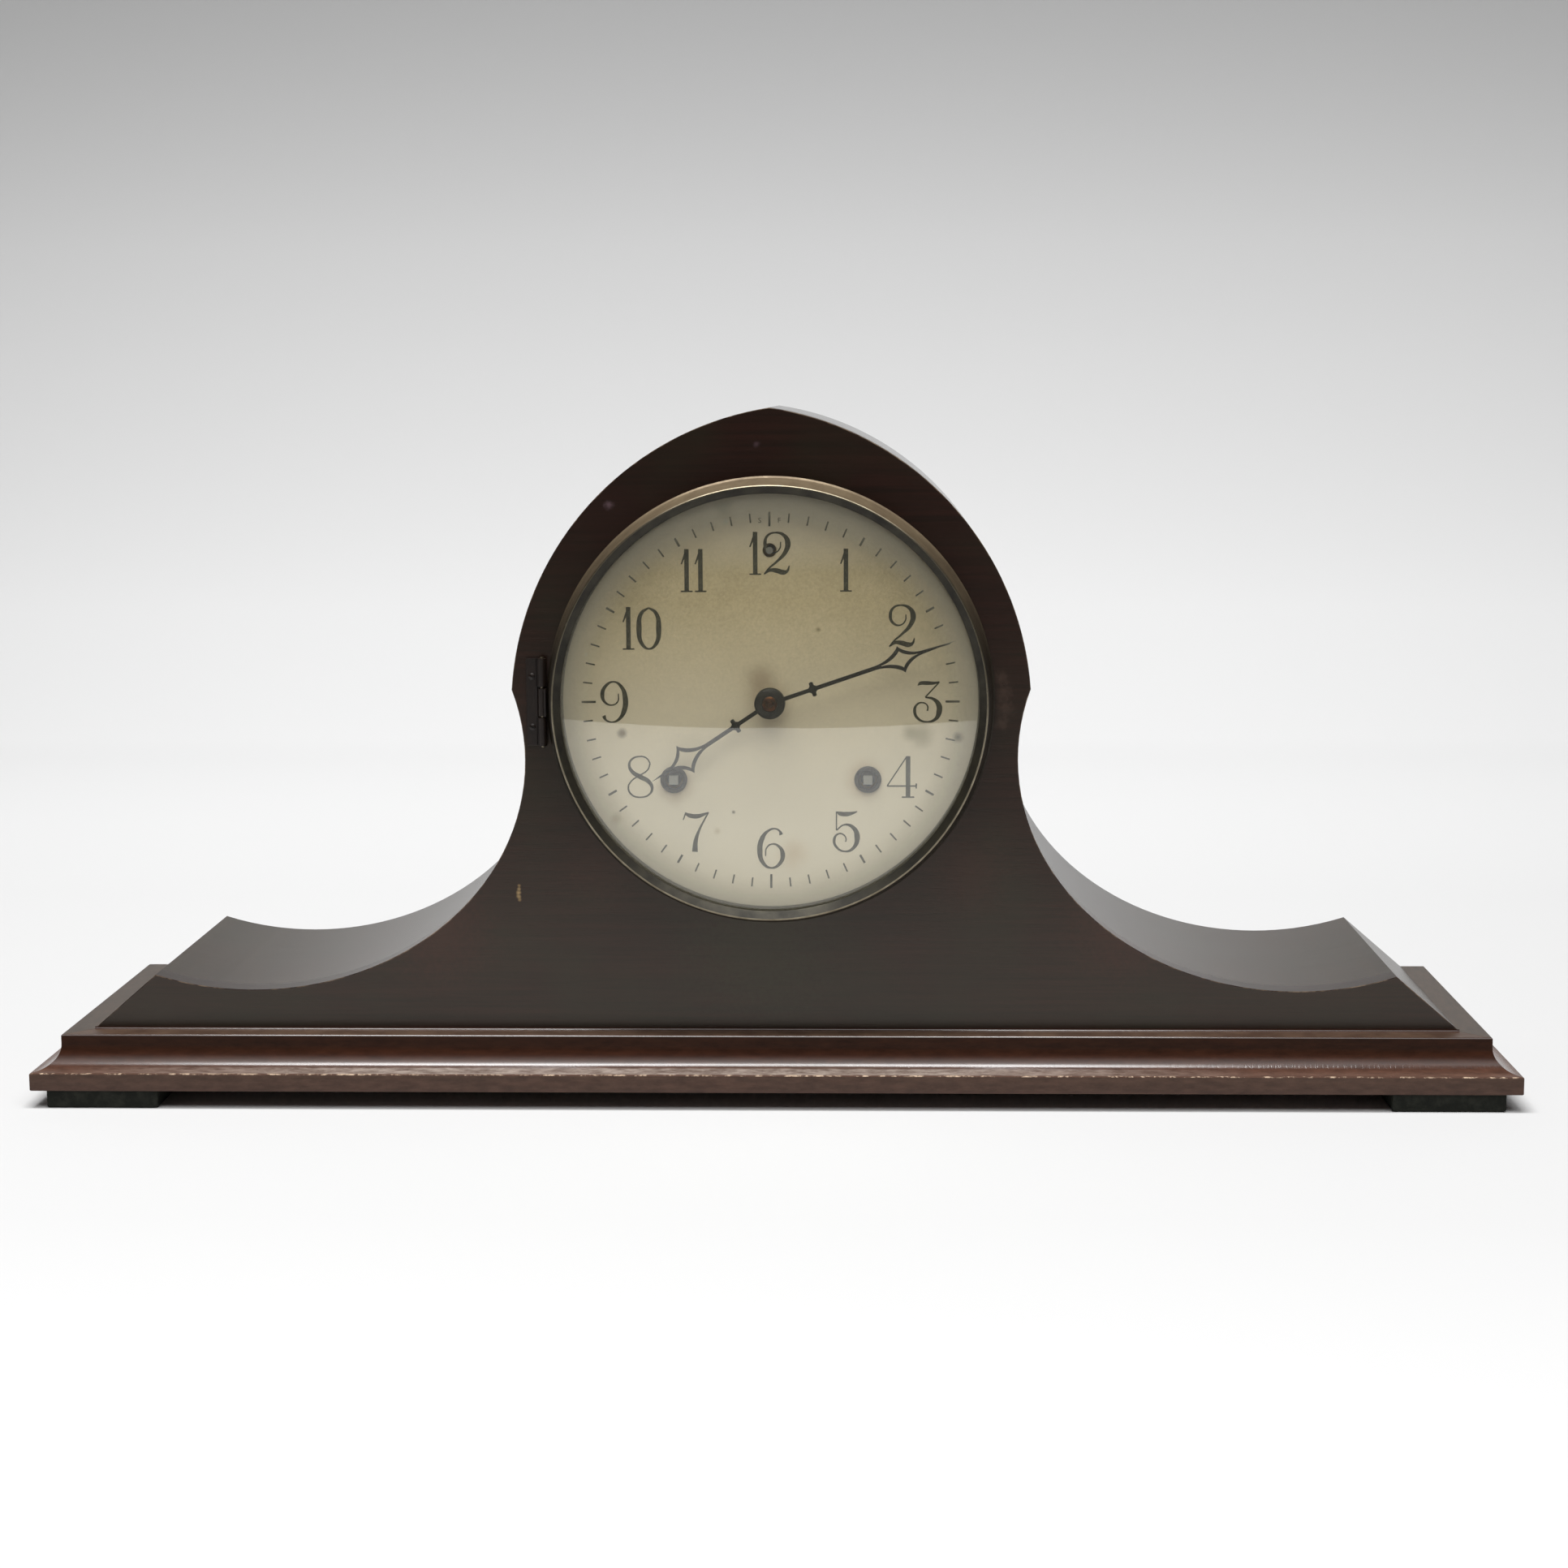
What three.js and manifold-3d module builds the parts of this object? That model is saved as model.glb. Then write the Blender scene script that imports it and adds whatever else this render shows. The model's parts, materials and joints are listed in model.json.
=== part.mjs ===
// A pendulum mantel clock in a tambour case with a pointed arch, in millimetres.
// +X is to the right and -Y to the front as one faces the dial, +Z is up,
// and the origin lies on the table under the middle of the base.
import * as THREE from "three";
import { mergeVertices } from "three/addons/utils/BufferGeometryUtils.js";
import Module from "manifold-3d";

const wasm = await Module();
wasm.setup();

// Base and feet
const baseWidth = 527;
const baseDepth = 133;
const footHeight = 6.4;
const footLength = 40;
const footDepth = 26;
const footInset = 5.5;
const footSetback = 1;
const footChamfer = 1.2;
const plinthEdge = 6.4;
const coveHeight = 8.5;
const coveReach = 9.3;
const coveFillet = 3.5;
const ledge = 9.7;

// Case
const frontBoard = 9.5;
const backBoard = 5;
const backRecess = 6;
const caseBackInset = 0.2;
const skin = 4;
const archRadius = 107.5;
const archOffset = 15.7;
const archDrop = 3.8;
const waistHalfWidth = 87.2;
const scoopReach = 99.5;
const scoopRise = 83.8;
const scoopFloor = 14.4;
const wingTipInset = 22.6;
const endBlockLength = 44.5;
const dialHeight = 118.5;
const dialHoleRadius = 60;
const doorRadius = 60;
const doorDrop = 34;
const doorKnobInset = 12;
const doorKnobRadius = 5;

// Dial, bezel and hands
const dialRadius = 73;
const dialThickness = 0.8;
const dialCentreHole = 4.2;
const grommetRadius = 4.75;
const grommetBore = 3.3;
const grommetNeck = 3.9;
const grommetFlange = 0.8;
const regulatorHole = 2.45;
const bezelRadius = 79;
const bezelRim = 76.1;
const bezelRimWidth = 0.6;
const bezelSight = 73.2;
const bezelBore = 75;
const bezelDepth = 12.8;
const bezelBevel = 1.9;
const bezelLip = 0.8;
const glassThickness = 1.6;
const glassCrown = 8.4;
const hingeHeight = 31;
const hingeKnuckle = 1.5;
const hingePin = 0.7;
const hingeLeaf = 0.8;
const hingeLeafWidth = 4;
const doorLeafWidth = 9;
const handThickness = 0.9;
const handHub = 5.4;
const handShaft = 1.4;
const hourHandRise = 3.8;
const handSpacing = 1.5;
const minuteHandAngle = 71.3;
const hourHandAngle = 236.3;
const minuteHand = { bar: 15.9, start: 39.1, wide: 48.4, halfWidth: 4.85, end: 55.9, tip: 68 };
const hourHand = { bar: 14.5, start: 26.9, wide: 35.8, halfWidth: 5.7, end: 42.6, tip: 50 };
const barHalfLength = 2.5;
const barWidth = 1.2;
const diamondLine = 1.2;
const diamondHollow = { across: 0.35, along: 0.2 };
const nutRadius = 2.6;
const nutHeight = 2.4;

// Movement frame
const plate = 1.6;
const plateSpacing = 39.5;
const legLength = 3.4;
const legRadius = 3.4;
const pillarRadius = 3;
const lowerPillar = { x: 54, z: -52 };
const upperPillar = { x: 42, z: 51 };
const plateMargin = 6;
const arborRadius = 1;

// Trains: tooth counts and modules of each wheel and of the pinion that it drives
const great = { teeth: 42, pinion: 6, module: 1.25 };
const second = { teeth: 32, pinion: 16, module: 0.8 };
const centre = { teeth: 60, pinion: 6, module: 0.55 };
const third = { teeth: 72, pinion: 6, module: 0.42 };
const lifting = { teeth: 36, pinion: 6, module: 0.9 };
const strikeThird = { teeth: 36, pinion: 6, module: 0.77 };
const minute = { teeth: 30, pinion: 10, module: 0.7 };
const hour = { teeth: 32, pinion: 8, module: 0.7 };
const windSpread = 34.2;
const windDrop = 27.6;
const windRadius = 2.5;
const windSquare = 3.2;
const windProud = 1.5;
const regulatorRise = 53.1;
const regulatorRadius = 1.3;
const escapeRise = 25;
const escapeTeeth = 42;
const escapeRadius = 12;
const escapeToothDepth = 1.8;
const vergeRise = 45;
const liftingLean = -10;
const strikeThirdLean = 18.5;
const flyLean = 33.7;
const minuteWheelLean = -135;
const wheelThickness = 1.2;
const greatThickness = 2.5;
const pinionOverhang = 1.2;
const rimWidth = 2;
const spokeWidth = 2.4;
const hubRadius = 4.5;
const springWidth = 13;
const springStrip = 0.7;
const springTurns = 4;
const springCoil = 19;
const springTail = 0.15;
const ratchetRadius = 10;
const ratchetTeeth = 16;
const ratchetThickness = 2;
const ratchetRoot = 0.84;
const ratchetUndercut = 0.08;
const clickLength = 6;
const clickWidth = 3;
const flyLength = 22;
const flyHalfWidth = 9;
const flyBlade = 0.8;

// Depths of the wheels behind the front plate's inner face
const thirdDepth = 5;
const secondDepth = 11;
const escapeDepth = 17;
const greatDepth = 21;
const centreDepth = 32;
const flyDepth = 9.5;

// Motion work in front of the front plate
const cannonBore = 1.25;
const cannonRadius = 2;
const cannonNose = 1.6;
const pipeWall = 1;
const studRadius = 1.2;

// Pendulum, hammer and gong
const pendulumLength = 127;
const pendulumOffset = 12;
const suspensionLength = 19;
const suspensionStrip = 0.4;
const suspensionWidth = 4;
const rodRadius = 0.8;
const bobRadius = 17;
const bobThickness = 9;
const bobShoulder = 0.7;
const cockHalfWidth = 3;
const cockHeight = 4;
const cockRise = 1.5;
const crutchLength = 33;
const crutchRadius = 0.7;
const crutchDepth = 5;
const forkHeight = 2;
const palletAngle = 38;
const palletRootAngle = 60;
const palletClearance = 1.4;
const palletWidth = 2.4;
const palletDepth = 3;
const hammerPivot = { x: -22, z: 3 };
const hammerSleeve = 3.2;
const hammerHead = { halfLength: 4, height: 9, depth: 9 };
const hammerRod = 1.1;
const hammerRest = 1;
const camRadius = 5;
const camPoints = 4;
const camThickness = 2.5;
const gongX = -42;
const gongHeight = 57;
const gongRadius = 40;
const gongWire = 1.25;
const gongTurns = 4.25;
const gongEndAngle = 120;
const gongBehind = 24;
const gongPost = 5;
const standLength = 28;
const standDepth = 22;
const standFoot = 4;
const standColumn = 8;

// Clearances
const seatGap = 0.2;
const fitGap = 0.3;
const runGap = 0.15;
const doorGap = 0.5;
const sideGap = 0.6;

// Levels and planes that follow from the sizes above
const plinthTop = footHeight + plinthEdge;
const baseTop = plinthTop + coveHeight + coveFillet;
const caseFloor = baseTop + seatGap;
const dialZ = baseTop + dialHeight;
const caseHalf = baseWidth / 2 - coveReach - ledge;
const caseFront = -baseDepth / 2 + coveReach + ledge;
const caseBack = baseDepth / 2 - caseBackInset;
const boardBack = caseFront + frontBoard;
const backOuter = caseBack - backRecess;
const backInner = backOuter - backBoard;
const doorZ = dialZ - doorDrop;
const archZ = dialZ - archDrop;
const scoopX = waistHalfWidth + scoopReach;
const scoopZ = baseTop + scoopFloor + scoopRise;
const tipX = caseHalf - wingTipInset;
const endX = caseHalf - endBlockLength;
const dialBack = caseFront - seatGap;
const dialFront = dialBack - dialThickness;
const bezelBack = caseFront - fitGap;
const bezelFront = caseFront - bezelDepth;
const lipBack = bezelFront + bezelBevel + bezelLip;
const glassEdge = lipBack + fitGap + bezelLip / 2;
const hourBack = dialFront - hourHandRise;
const hourFront = hourBack - handThickness;
const minuteBack = hourFront - handSpacing;
const minuteFront = minuteBack - handThickness;
const plateFront = boardBack + legLength + seatGap;
const plateInner = plateFront + plate;
const rearInner = plateInner + plateSpacing;
const rearBack = rearInner + plate;
const pendulumY = rearBack + pendulumOffset;
const gongY = rearBack + gongBehind;

// Places of the arbors in the dial's plane, from the dial's centre
const origin = { x: 0, z: 0 };
const windRight = { x: windSpread, z: -windDrop };
const windLeft = { x: -windSpread, z: -windDrop };
const escapeAt = { x: 0, z: escapeRise };
const vergeAt = { x: 0, z: vergeRise };
const regulatorAt = { x: 0, z: regulatorRise };
const secondAt = meet(windRight, reach(great), origin, reach(second), 1);
const thirdAt = meet(origin, reach(centre), escapeAt, reach(third), -1);
const liftingAt = along(windLeft, reach(great), liftingLean);
const strikeThirdAt = along(liftingAt, reach(lifting), strikeThirdLean);
const flyAt = along(strikeThirdAt, reach(strikeThird), flyLean);
const minuteAt = along(origin, reach(minute), minuteWheelLean);

// Centre distance of a wheel and its pinion.
function reach(pair) {
  return ((pair.teeth + pair.pinion) * pair.module) / 2;
}

// The point at a distance from a place, leaning clockwise from upright by an angle in degrees.
function along(place, distance, lean) {
  const angle = THREE.MathUtils.degToRad(lean);
  return { x: place.x + distance * Math.sin(angle), z: place.z + distance * Math.cos(angle) };
}

// The point at given distances from two places, left (1) or right (-1) of the way from one to the other.
function meet(from, fromDistance, to, toDistance, side) {
  const span = Math.hypot(to.x - from.x, to.z - from.z);
  const ux = (to.x - from.x) / span;
  const uz = (to.z - from.z) / span;
  const forward = (fromDistance ** 2 - toDistance ** 2 + span ** 2) / (2 * span);
  const aside = side * Math.sqrt(fromDistance ** 2 - forward ** 2);
  return { x: from.x + ux * forward - uz * aside, z: from.z + uz * forward + ux * aside };
}

// Geometry helpers

// A geometry with only positions, shared corners merged and its faces pointing out.
function closed(geometry) {
  const bare = new THREE.BufferGeometry();
  bare.setAttribute("position", geometry.getAttribute("position"));
  bare.setIndex(geometry.index);
  const merged = mergeVertices(bare, 1e-4);
  const corners = merged.index.array;
  const at = merged.getAttribute("position");
  const points = [0, 1, 2].map(() => new THREE.Vector3());
  const kept = [];
  let volume = 0;
  for (let i = 0; i < corners.length; i += 3) {
    const [a, b, c] = corners.slice(i, i + 3);
    if (a === b || b === c || a === c) continue;
    kept.push(a, b, c);
    [a, b, c].forEach((corner, k) => points[k].fromBufferAttribute(at, corner));
    volume += points[0].dot(points[1].cross(points[2]));
  }
  if (volume < 0) kept.reverse();
  merged.setIndex(kept);
  return merged;
}

function solid(geometry) {
  const body = closed(geometry);
  return new wasm.Manifold(
    new wasm.Mesh({
      numProp: 3,
      vertProperties: new Float32Array(body.getAttribute("position").array),
      triVerts: new Uint32Array(body.index.array),
    }),
  );
}

function fromSolid(body) {
  const mesh = body.getMesh();
  const geometry = new THREE.BufferGeometry();
  geometry.setAttribute("position", new THREE.BufferAttribute(mesh.vertProperties, 3));
  geometry.setIndex(new THREE.BufferAttribute(mesh.triVerts, 1));
  return geometry;
}

function joined(...pieces) {
  return fromSolid(pieces.map(solid).reduce((whole, piece) => whole.add(piece)));
}

function cut(piece, ...tools) {
  return fromSolid(tools.map(solid).reduce((rest, tool) => rest.subtract(tool), solid(piece)));
}

// A flat piece of an outline in X and Z, from one depth to another.
function slab(outline, holes, front, back) {
  const shape = new THREE.Shape(outline);
  shape.holes = holes.map((hole) => new THREE.Path(hole));
  const geometry = new THREE.ExtrudeGeometry(shape, { depth: back - front, bevelEnabled: false });
  return closed(geometry.rotateX(Math.PI / 2).translate(0, back, 0));
}

// A turned piece about an axis along Y. The profile is a closed list of [radius, depth].
function turned(profile, sides, place = origin) {
  const ring = [...profile, profile[0]].map(([radius, depth]) => new THREE.Vector2(radius, depth));
  return closed(new THREE.LatheGeometry(ring, sides)).translate(place.x, 0, place.z);
}

function disc(place, radius, front, back, sides = 12) {
  return turned([[0, front], [radius, front], [radius, back], [0, back]], sides, place);
}

function tube(place, bore, radius, front, back, sides = 16) {
  return turned([[bore, front], [radius, front], [radius, back], [bore, back]], sides, place);
}

function box(left, right, front, back, bottom, top) {
  const geometry = new THREE.BoxGeometry(right - left, back - front, top - bottom);
  return geometry.translate((left + right) / 2, (front + back) / 2, (bottom + top) / 2);
}

// A round rod between two points.
function rod(from, to, radius, sides = 8) {
  const way = new THREE.Vector3().subVectors(to, from);
  const turn = new THREE.Quaternion().setFromUnitVectors(new THREE.Vector3(0, 1, 0), way.clone().normalize());
  const geometry = new THREE.CylinderGeometry(radius, radius, way.length(), sides);
  const middle = new THREE.Vector3().addVectors(from, to).multiplyScalar(0.5);
  return geometry.applyQuaternion(turn).translate(middle.x, middle.y, middle.z);
}

// A prism between two like rings of points in space. The section gives the ring's flat form.
function prism(section, near, far) {
  const count = section.length;
  const corners = [...section.map(near), ...section.map(far)];
  const faces = [];
  for (let i = 0; i < count; i++) {
    const next = (i + 1) % count;
    faces.push(i, next, count + i, next, count + next, count + i);
  }
  for (const [a, b, c] of THREE.ShapeUtils.triangulateShape(section, [])) {
    faces.push(c, b, a, count + a, count + b, count + c);
  }
  const geometry = new THREE.BufferGeometry();
  geometry.setAttribute("position", new THREE.Float32BufferAttribute(corners.flat(), 3));
  geometry.setIndex(faces);
  return closed(geometry);
}

// The point at a radius from a place, at an angle from +X towards +Z.
function polar(place, radius, angle) {
  return new THREE.Vector2(place.x + radius * Math.cos(angle), place.z + radius * Math.sin(angle));
}

function circle(place, radius, sides) {
  return Array.from({ length: sides }, (_, i) => {
    const angle = (2 * Math.PI * i) / sides;
    return polar(place, radius, angle);
  });
}

// Points on an ellipse from one angle to another, both counted from +X towards +Z.
function arc(x, z, halfWidth, halfHeight, from, to, steps) {
  return Array.from({ length: steps + 1 }, (_, i) => {
    const angle = from + ((to - from) * i) / steps;
    return new THREE.Vector2(x + halfWidth * Math.cos(angle), z + halfHeight * Math.sin(angle));
  });
}

// Case outline

const archSteps = 14;
const scoopSteps = 22;
const endSteps = 3;

// The height where the arch meets the scoop of the wing, for a line this far inside the case.
function shoulder(inset) {
  let low = scoopZ;
  let high = scoopZ + scoopRise / 2;
  for (let i = 0; i < 50; i++) {
    const z = (low + high) / 2;
    const arch = Math.sqrt((archRadius - inset) ** 2 - (z - archZ) ** 2) - archOffset;
    const rise = (z - scoopZ) / (scoopRise + inset);
    const scoop = scoopX - (scoopReach + inset) * Math.sqrt(1 - rise ** 2);
    if (arch > scoop) low = z;
    else high = z;
  }
  return low;
}

// The right arch, up from a height to a distance from the middle.
function archLine(inset, bottom, side = 0) {
  const radius = archRadius - inset;
  const from = Math.asin((bottom - archZ) / radius);
  const to = Math.acos((archOffset + side) / radius);
  return arc(-archOffset, archZ, radius, radius, from, to, archSteps);
}

// The right wing's scoop, from a place along the base to a height.
function scoopLine(inset, endAt, top) {
  const from = -Math.acos((endAt - scoopX) / (scoopReach + inset));
  const to = -Math.PI - Math.asin((top - scoopZ) / (scoopRise + inset));
  return arc(scoopX, scoopZ, scoopReach + inset, scoopRise + inset, from, to, scoopSteps);
}

// A whole outline from its right half, which ends on the middle line.
function mirrored(half) {
  const left = half.slice(0, -1).reverse();
  return [...half, ...left.map((point) => new THREE.Vector2(-point.x, point.y))];
}

function flipped(points) {
  return points.map((point) => new THREE.Vector2(-point.x, point.y));
}

// Base and case pieces

function mouldingSection() {
  const width = coveReach + ledge;
  const coveTop = plinthTop + coveHeight;
  const cove = arc(width, coveTop, coveReach, coveHeight, 1.5 * Math.PI, Math.PI, 7);
  const corner = (reachOut, height) => new THREE.Vector2(reachOut, height);
  const foot = [corner(0, footHeight), corner(width, footHeight)];
  const top = [corner(width - coveReach, baseTop), corner(0, baseTop)];
  return [...foot, ...cove, ...top];
}

function mouldingFront() {
  const at = (side) => (point) => [side * (caseHalf + point.x), caseFront - point.x, point.y];
  return prism(mouldingSection(), at(-1), at(1));
}

function mouldingSide(side) {
  const near = (point) => [side * (caseHalf + point.x), caseFront - point.x + fitGap, point.y];
  const far = (point) => [side * (caseHalf + point.x), baseDepth / 2, point.y];
  return prism(mouldingSection(), near, far);
}

function baseBoard() {
  const half = caseHalf - seatGap;
  return box(-half, half, caseFront + seatGap, baseDepth / 2, footHeight, baseTop);
}

// A low block with its lower edges chamfered.
function foot(side, end) {
  const x = side * (baseWidth / 2 - footInset - footLength / 2);
  const y = end * (baseDepth / 2 - footSetback - footDepth / 2);
  const ring = [[-1, -1], [1, -1], [1, 1], [-1, 1]].map(([u, v]) => new THREE.Vector2(u, v));
  const level = (inset, z) => (p) => [
    x + p.x * (footLength / 2 - inset),
    y + p.y * (footDepth / 2 - inset),
    z,
  ];
  const lower = prism(ring, level(footChamfer, 0), level(0, footChamfer));
  const upper = prism(ring, level(0, footChamfer), level(0, footHeight - seatGap));
  return joined(lower, upper);
}

function frontPanel() {
  const bottom = new THREE.Vector2(caseHalf, caseFloor);
  const top = shoulder(0);
  const half = [bottom, ...scoopLine(0, tipX, top), ...archLine(0, top).slice(1)];
  const hole = circle({ x: 0, z: dialZ }, dialHoleRadius, 48);
  return slab(mirrored(half), [hole], caseFront, boardBack);
}

function backPanel() {
  const inset = skin + fitGap;
  const top = shoulder(inset);
  const bottom = new THREE.Vector2(endX - fitGap, caseFloor);
  const half = [bottom, ...scoopLine(inset, endX - fitGap, top), ...archLine(inset, top).slice(1)];
  const hole = circle({ x: 0, z: doorZ }, doorRadius, 48);
  return slab(mirrored(half), [hole], backInner, backOuter);
}

function archSkin(side) {
  const joint = shoulder(0) + seatGap;
  const inner = archLine(skin, joint, seatGap).reverse();
  const outline = [...archLine(0, joint, seatGap), ...inner];
  return slab(side > 0 ? outline : flipped(outline), [], boardBack + seatGap, caseBack);
}

function wingSkin(side) {
  const joint = shoulder(0) - seatGap;
  const inner = scoopLine(skin, endX - seatGap, joint).reverse();
  const outline = [...scoopLine(0, endX - seatGap, joint), ...inner];
  return slab(side > 0 ? outline : flipped(outline), [], boardBack + seatGap, caseBack);
}

function endBlock(side) {
  const from = -Math.acos((tipX - scoopX) / scoopReach);
  const to = -Math.acos((endX - scoopX) / scoopReach);
  const top = arc(scoopX, scoopZ, scoopReach, scoopRise, from, to, endSteps);
  const outline = [new THREE.Vector2(endX, caseFloor), new THREE.Vector2(caseHalf, caseFloor), ...top];
  return slab(side > 0 ? outline : flipped(outline), [], boardBack + seatGap, caseBack);
}

// Back door with its butt hinge and knob

const doorAxis = { x: doorRadius + hingeKnuckle - doorGap, y: backOuter + hingeKnuckle + seatGap };

function backDoor() {
  return slab(circle({ x: 0, z: doorZ }, doorRadius - doorGap, 48), [], backInner, backOuter);
}

function doorKnob() {
  const place = { x: doorKnobInset - doorRadius, z: doorZ };
  const base = backOuter + seatGap;
  const top = caseBack;
  const neck = doorKnobRadius / 2;
  const belly = (base + top) / 2;
  const stem = [[0, base], [neck, base], [neck, belly]];
  const head = [[doorKnobRadius, belly], [doorKnobRadius, top], [0, top]];
  return turned([...stem, ...head], 16, place);
}

// One leaf of an upright hinge, with the knuckles in its share of thirds of the height.
function hingeLeafPiece(axis, middle, shares, leaf, bore) {
  const third = hingeHeight / 3;
  const bottom = middle - hingeHeight / 2;
  const onAxis = (z) => new THREE.Vector3(axis.x, axis.y, z);
  const knuckles = shares.map((share) => {
    const low = bottom + share * third + (share > 0 ? fitGap : 0);
    const high = bottom + (share + 1) * third - (share < 2 ? fitGap : 0);
    const barrel = rod(onAxis(low), onAxis(high), hingeKnuckle, 12);
    const [left, right] = [axis.x, leaf.to].sort((a, b) => a - b);
    const tongue = box(left, right, leaf.front, leaf.back, low, high);
    return joined(barrel, tongue);
  });
  const [near, far] = [leaf.from, leaf.to].sort((a, b) => a - b);
  const strip = box(near, far, leaf.front, leaf.back, bottom, bottom + hingeHeight);
  const whole = joined(strip, ...knuckles);
  const pin = rod(onAxis(bottom - bore.end), onAxis(bottom + hingeHeight + bore.end), bore.radius, 12);
  return bore.isPin ? joined(whole, pin) : cut(whole, pin);
}

const pinBore = { radius: hingePin + runGap, end: 1, isPin: false };
const pinRod = { radius: hingePin, end: 0.5, isPin: true };

// A leaf on the back board (side 1) or on the door (side -1).
function doorLeaf(side, shares, bore) {
  const near = doorAxis.x + side * (hingeKnuckle + sideGap);
  const front = backOuter + seatGap;
  const leaf = { from: near + side * doorLeafWidth, to: near, front, back: front + hingeLeaf };
  return hingeLeafPiece(doorAxis, doorZ, shares, leaf, bore);
}

// Dial and bezel

function dialPlate() {
  const at = (place) => ({ x: place.x, z: place.z + dialZ });
  const holes = [
    circle(at(origin), dialCentreHole, 16),
    circle(at(windLeft), grommetNeck + runGap, 16),
    circle(at(windRight), grommetNeck + runGap, 16),
    circle(at(regulatorAt), regulatorHole, 12),
  ];
  return slab(circle(at(origin), dialRadius, 64), holes, dialFront, dialBack);
}

function grommet(place) {
  const top = dialFront - seatGap;
  const front = top - grommetFlange;
  const profile = [
    [grommetBore, front],
    [grommetRadius, front],
    [grommetRadius, top],
    [grommetNeck, top],
    [grommetNeck, dialBack],
    [grommetBore, dialBack],
  ];
  return turned(profile, 16, { x: place.x, z: place.z + dialZ });
}

// A coned brass ring with a narrow rim, a bevel inside it and a lip that holds the glass from the front.
function bezelRing() {
  const profile = [
    [bezelBore, bezelBack],
    [bezelRadius, bezelBack],
    [bezelRim, bezelFront],
    [bezelRim - bezelRimWidth, bezelFront],
    [bezelSight, bezelFront + bezelBevel],
    [bezelSight, lipBack],
    [bezelBore, lipBack],
  ];
  return turned(profile, 48, { x: 0, z: dialZ });
}

function bezelGlass() {
  const radius = bezelBore - fitGap;
  const steps = 4;
  const bulge = (share, edge) => [radius * share, edge - glassCrown * (1 - share ** 2)];
  const shares = Array.from({ length: steps + 1 }, (_, i) => i / steps);
  const outer = shares.map((share) => bulge(share, glassEdge));
  const inner = shares.map((share) => bulge(share, glassEdge + glassThickness)).reverse();
  return turned([...outer, ...inner], 36, { x: 0, z: dialZ });
}

const bezelAxis = { x: -bezelRadius - hingeKnuckle + runGap, y: caseFront - hingeKnuckle - sideGap };

function bezelFixedLeaf() {
  const near = bezelAxis.x - hingeKnuckle - fitGap;
  const leaf = {
    from: near - hingeLeafWidth,
    to: near,
    front: caseFront - seatGap - hingeLeaf,
    back: caseFront - seatGap,
  };
  return hingeLeafPiece(bezelAxis, dialZ, [0, 2], leaf, pinRod);
}

// The bezel's own knuckle, with a short fin that lies along the ring.
function bezelMovingLeaf() {
  const half = hingeHeight / 6 - fitGap;
  const low = new THREE.Vector3(bezelAxis.x, bezelAxis.y, dialZ - half);
  const high = new THREE.Vector3(bezelAxis.x, bezelAxis.y, dialZ + half);
  const front = bezelAxis.y - 2 * hingeKnuckle;
  const right = bezelAxis.x + hingeKnuckle;
  const fin = box(right - hingeLeaf, right, front, bezelAxis.y, dialZ - half, dialZ + half);
  const end = new THREE.Vector3(0, 0, pinBore.end);
  const bore = rod(low.clone().sub(end), high.clone().add(end), pinBore.radius, 12);
  return cut(joined(rod(low, high, hingeKnuckle, 12), fin), bore);
}

// Hands: a hub, a slim shaft with a cross bar, a pierced diamond with hollow sides and a point

function diamond(start, wide, halfWidth, end) {
  const neck = handShaft / 2;
  const side = new THREE.Vector2(halfWidth, wide);
  const curve = (tip) => {
    const bendX = neck + (halfWidth - neck) * diamondHollow.across;
    const bendZ = wide + (tip - wide) * diamondHollow.along;
    const bend = new THREE.Vector2(bendX, bendZ);
    return new THREE.QuadraticBezierCurve(new THREE.Vector2(neck, tip), bend, side).getPoints(4);
  };
  const right = [...curve(start), ...curve(end).reverse().slice(1)];
  return [...right, ...flipped(right).reverse()];
}

function hand(size, bore, angle, front, back) {
  const neck = handShaft / 2;
  const pane = diamond(
    size.start + diamondLine * 2,
    size.wide,
    size.halfWidth - diamondLine * 1.5,
    size.end - diamondLine * 2,
  );
  const point = [[-neck, size.end - neck], [neck, size.end - neck], [0, size.tip]];
  const pieces = [
    slab(circle(origin, handHub, 24), [], front, back),
    box(-neck, neck, front, back, 0, size.start + neck),
    box(-barHalfLength, barHalfLength, front, back, size.bar - barWidth / 2, size.bar + barWidth / 2),
    slab(diamond(size.start, size.wide, size.halfWidth, size.end), [pane], front, back),
    slab(point.map(([x, z]) => new THREE.Vector2(x, z)), [], front, back),
  ];
  const whole = cut(joined(...pieces), disc(origin, bore, front - 1, back + 1, 16));
  return whole.rotateY(THREE.MathUtils.degToRad(angle)).translate(0, 0, dialZ);
}

function handNut() {
  const back = minuteFront - seatGap;
  const front = back - nutHeight;
  const flank = [[nutRadius, back], [nutRadius, back - nutHeight / 2]];
  const profile = [[0, back], ...flank, [nutRadius / 2, front], [0, front]];
  return turned(profile, 12, { x: 0, z: dialZ });
}

// Toothed wheels

const wheelTooth = { addendum: 0.8, dedendum: 1.1, tip: 0.12, root: 0.36 };
const pinionTooth = { addendum: 0.7, dedendum: 1.2, tip: 0.1, root: 0.24 };

// The outline of a wheel with straight-sided teeth. phase is the angle of one tooth's middle.
function toothed(place, teeth, module, phase, tooth) {
  const pitch = (teeth * module) / 2;
  const step = (2 * Math.PI) / teeth;
  const tip = pitch + tooth.addendum * module;
  const root = pitch - tooth.dedendum * module;
  const sides = [[-tooth.root, root], [-tooth.tip, tip], [tooth.tip, tip], [tooth.root, root]];
  return Array.from({ length: teeth }, (_, i) =>
    sides.map(([share, radius]) => {
      const angle = phase + (i + share) * step;
      return polar(place, radius, angle);
    }),
  ).flat();
}

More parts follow.
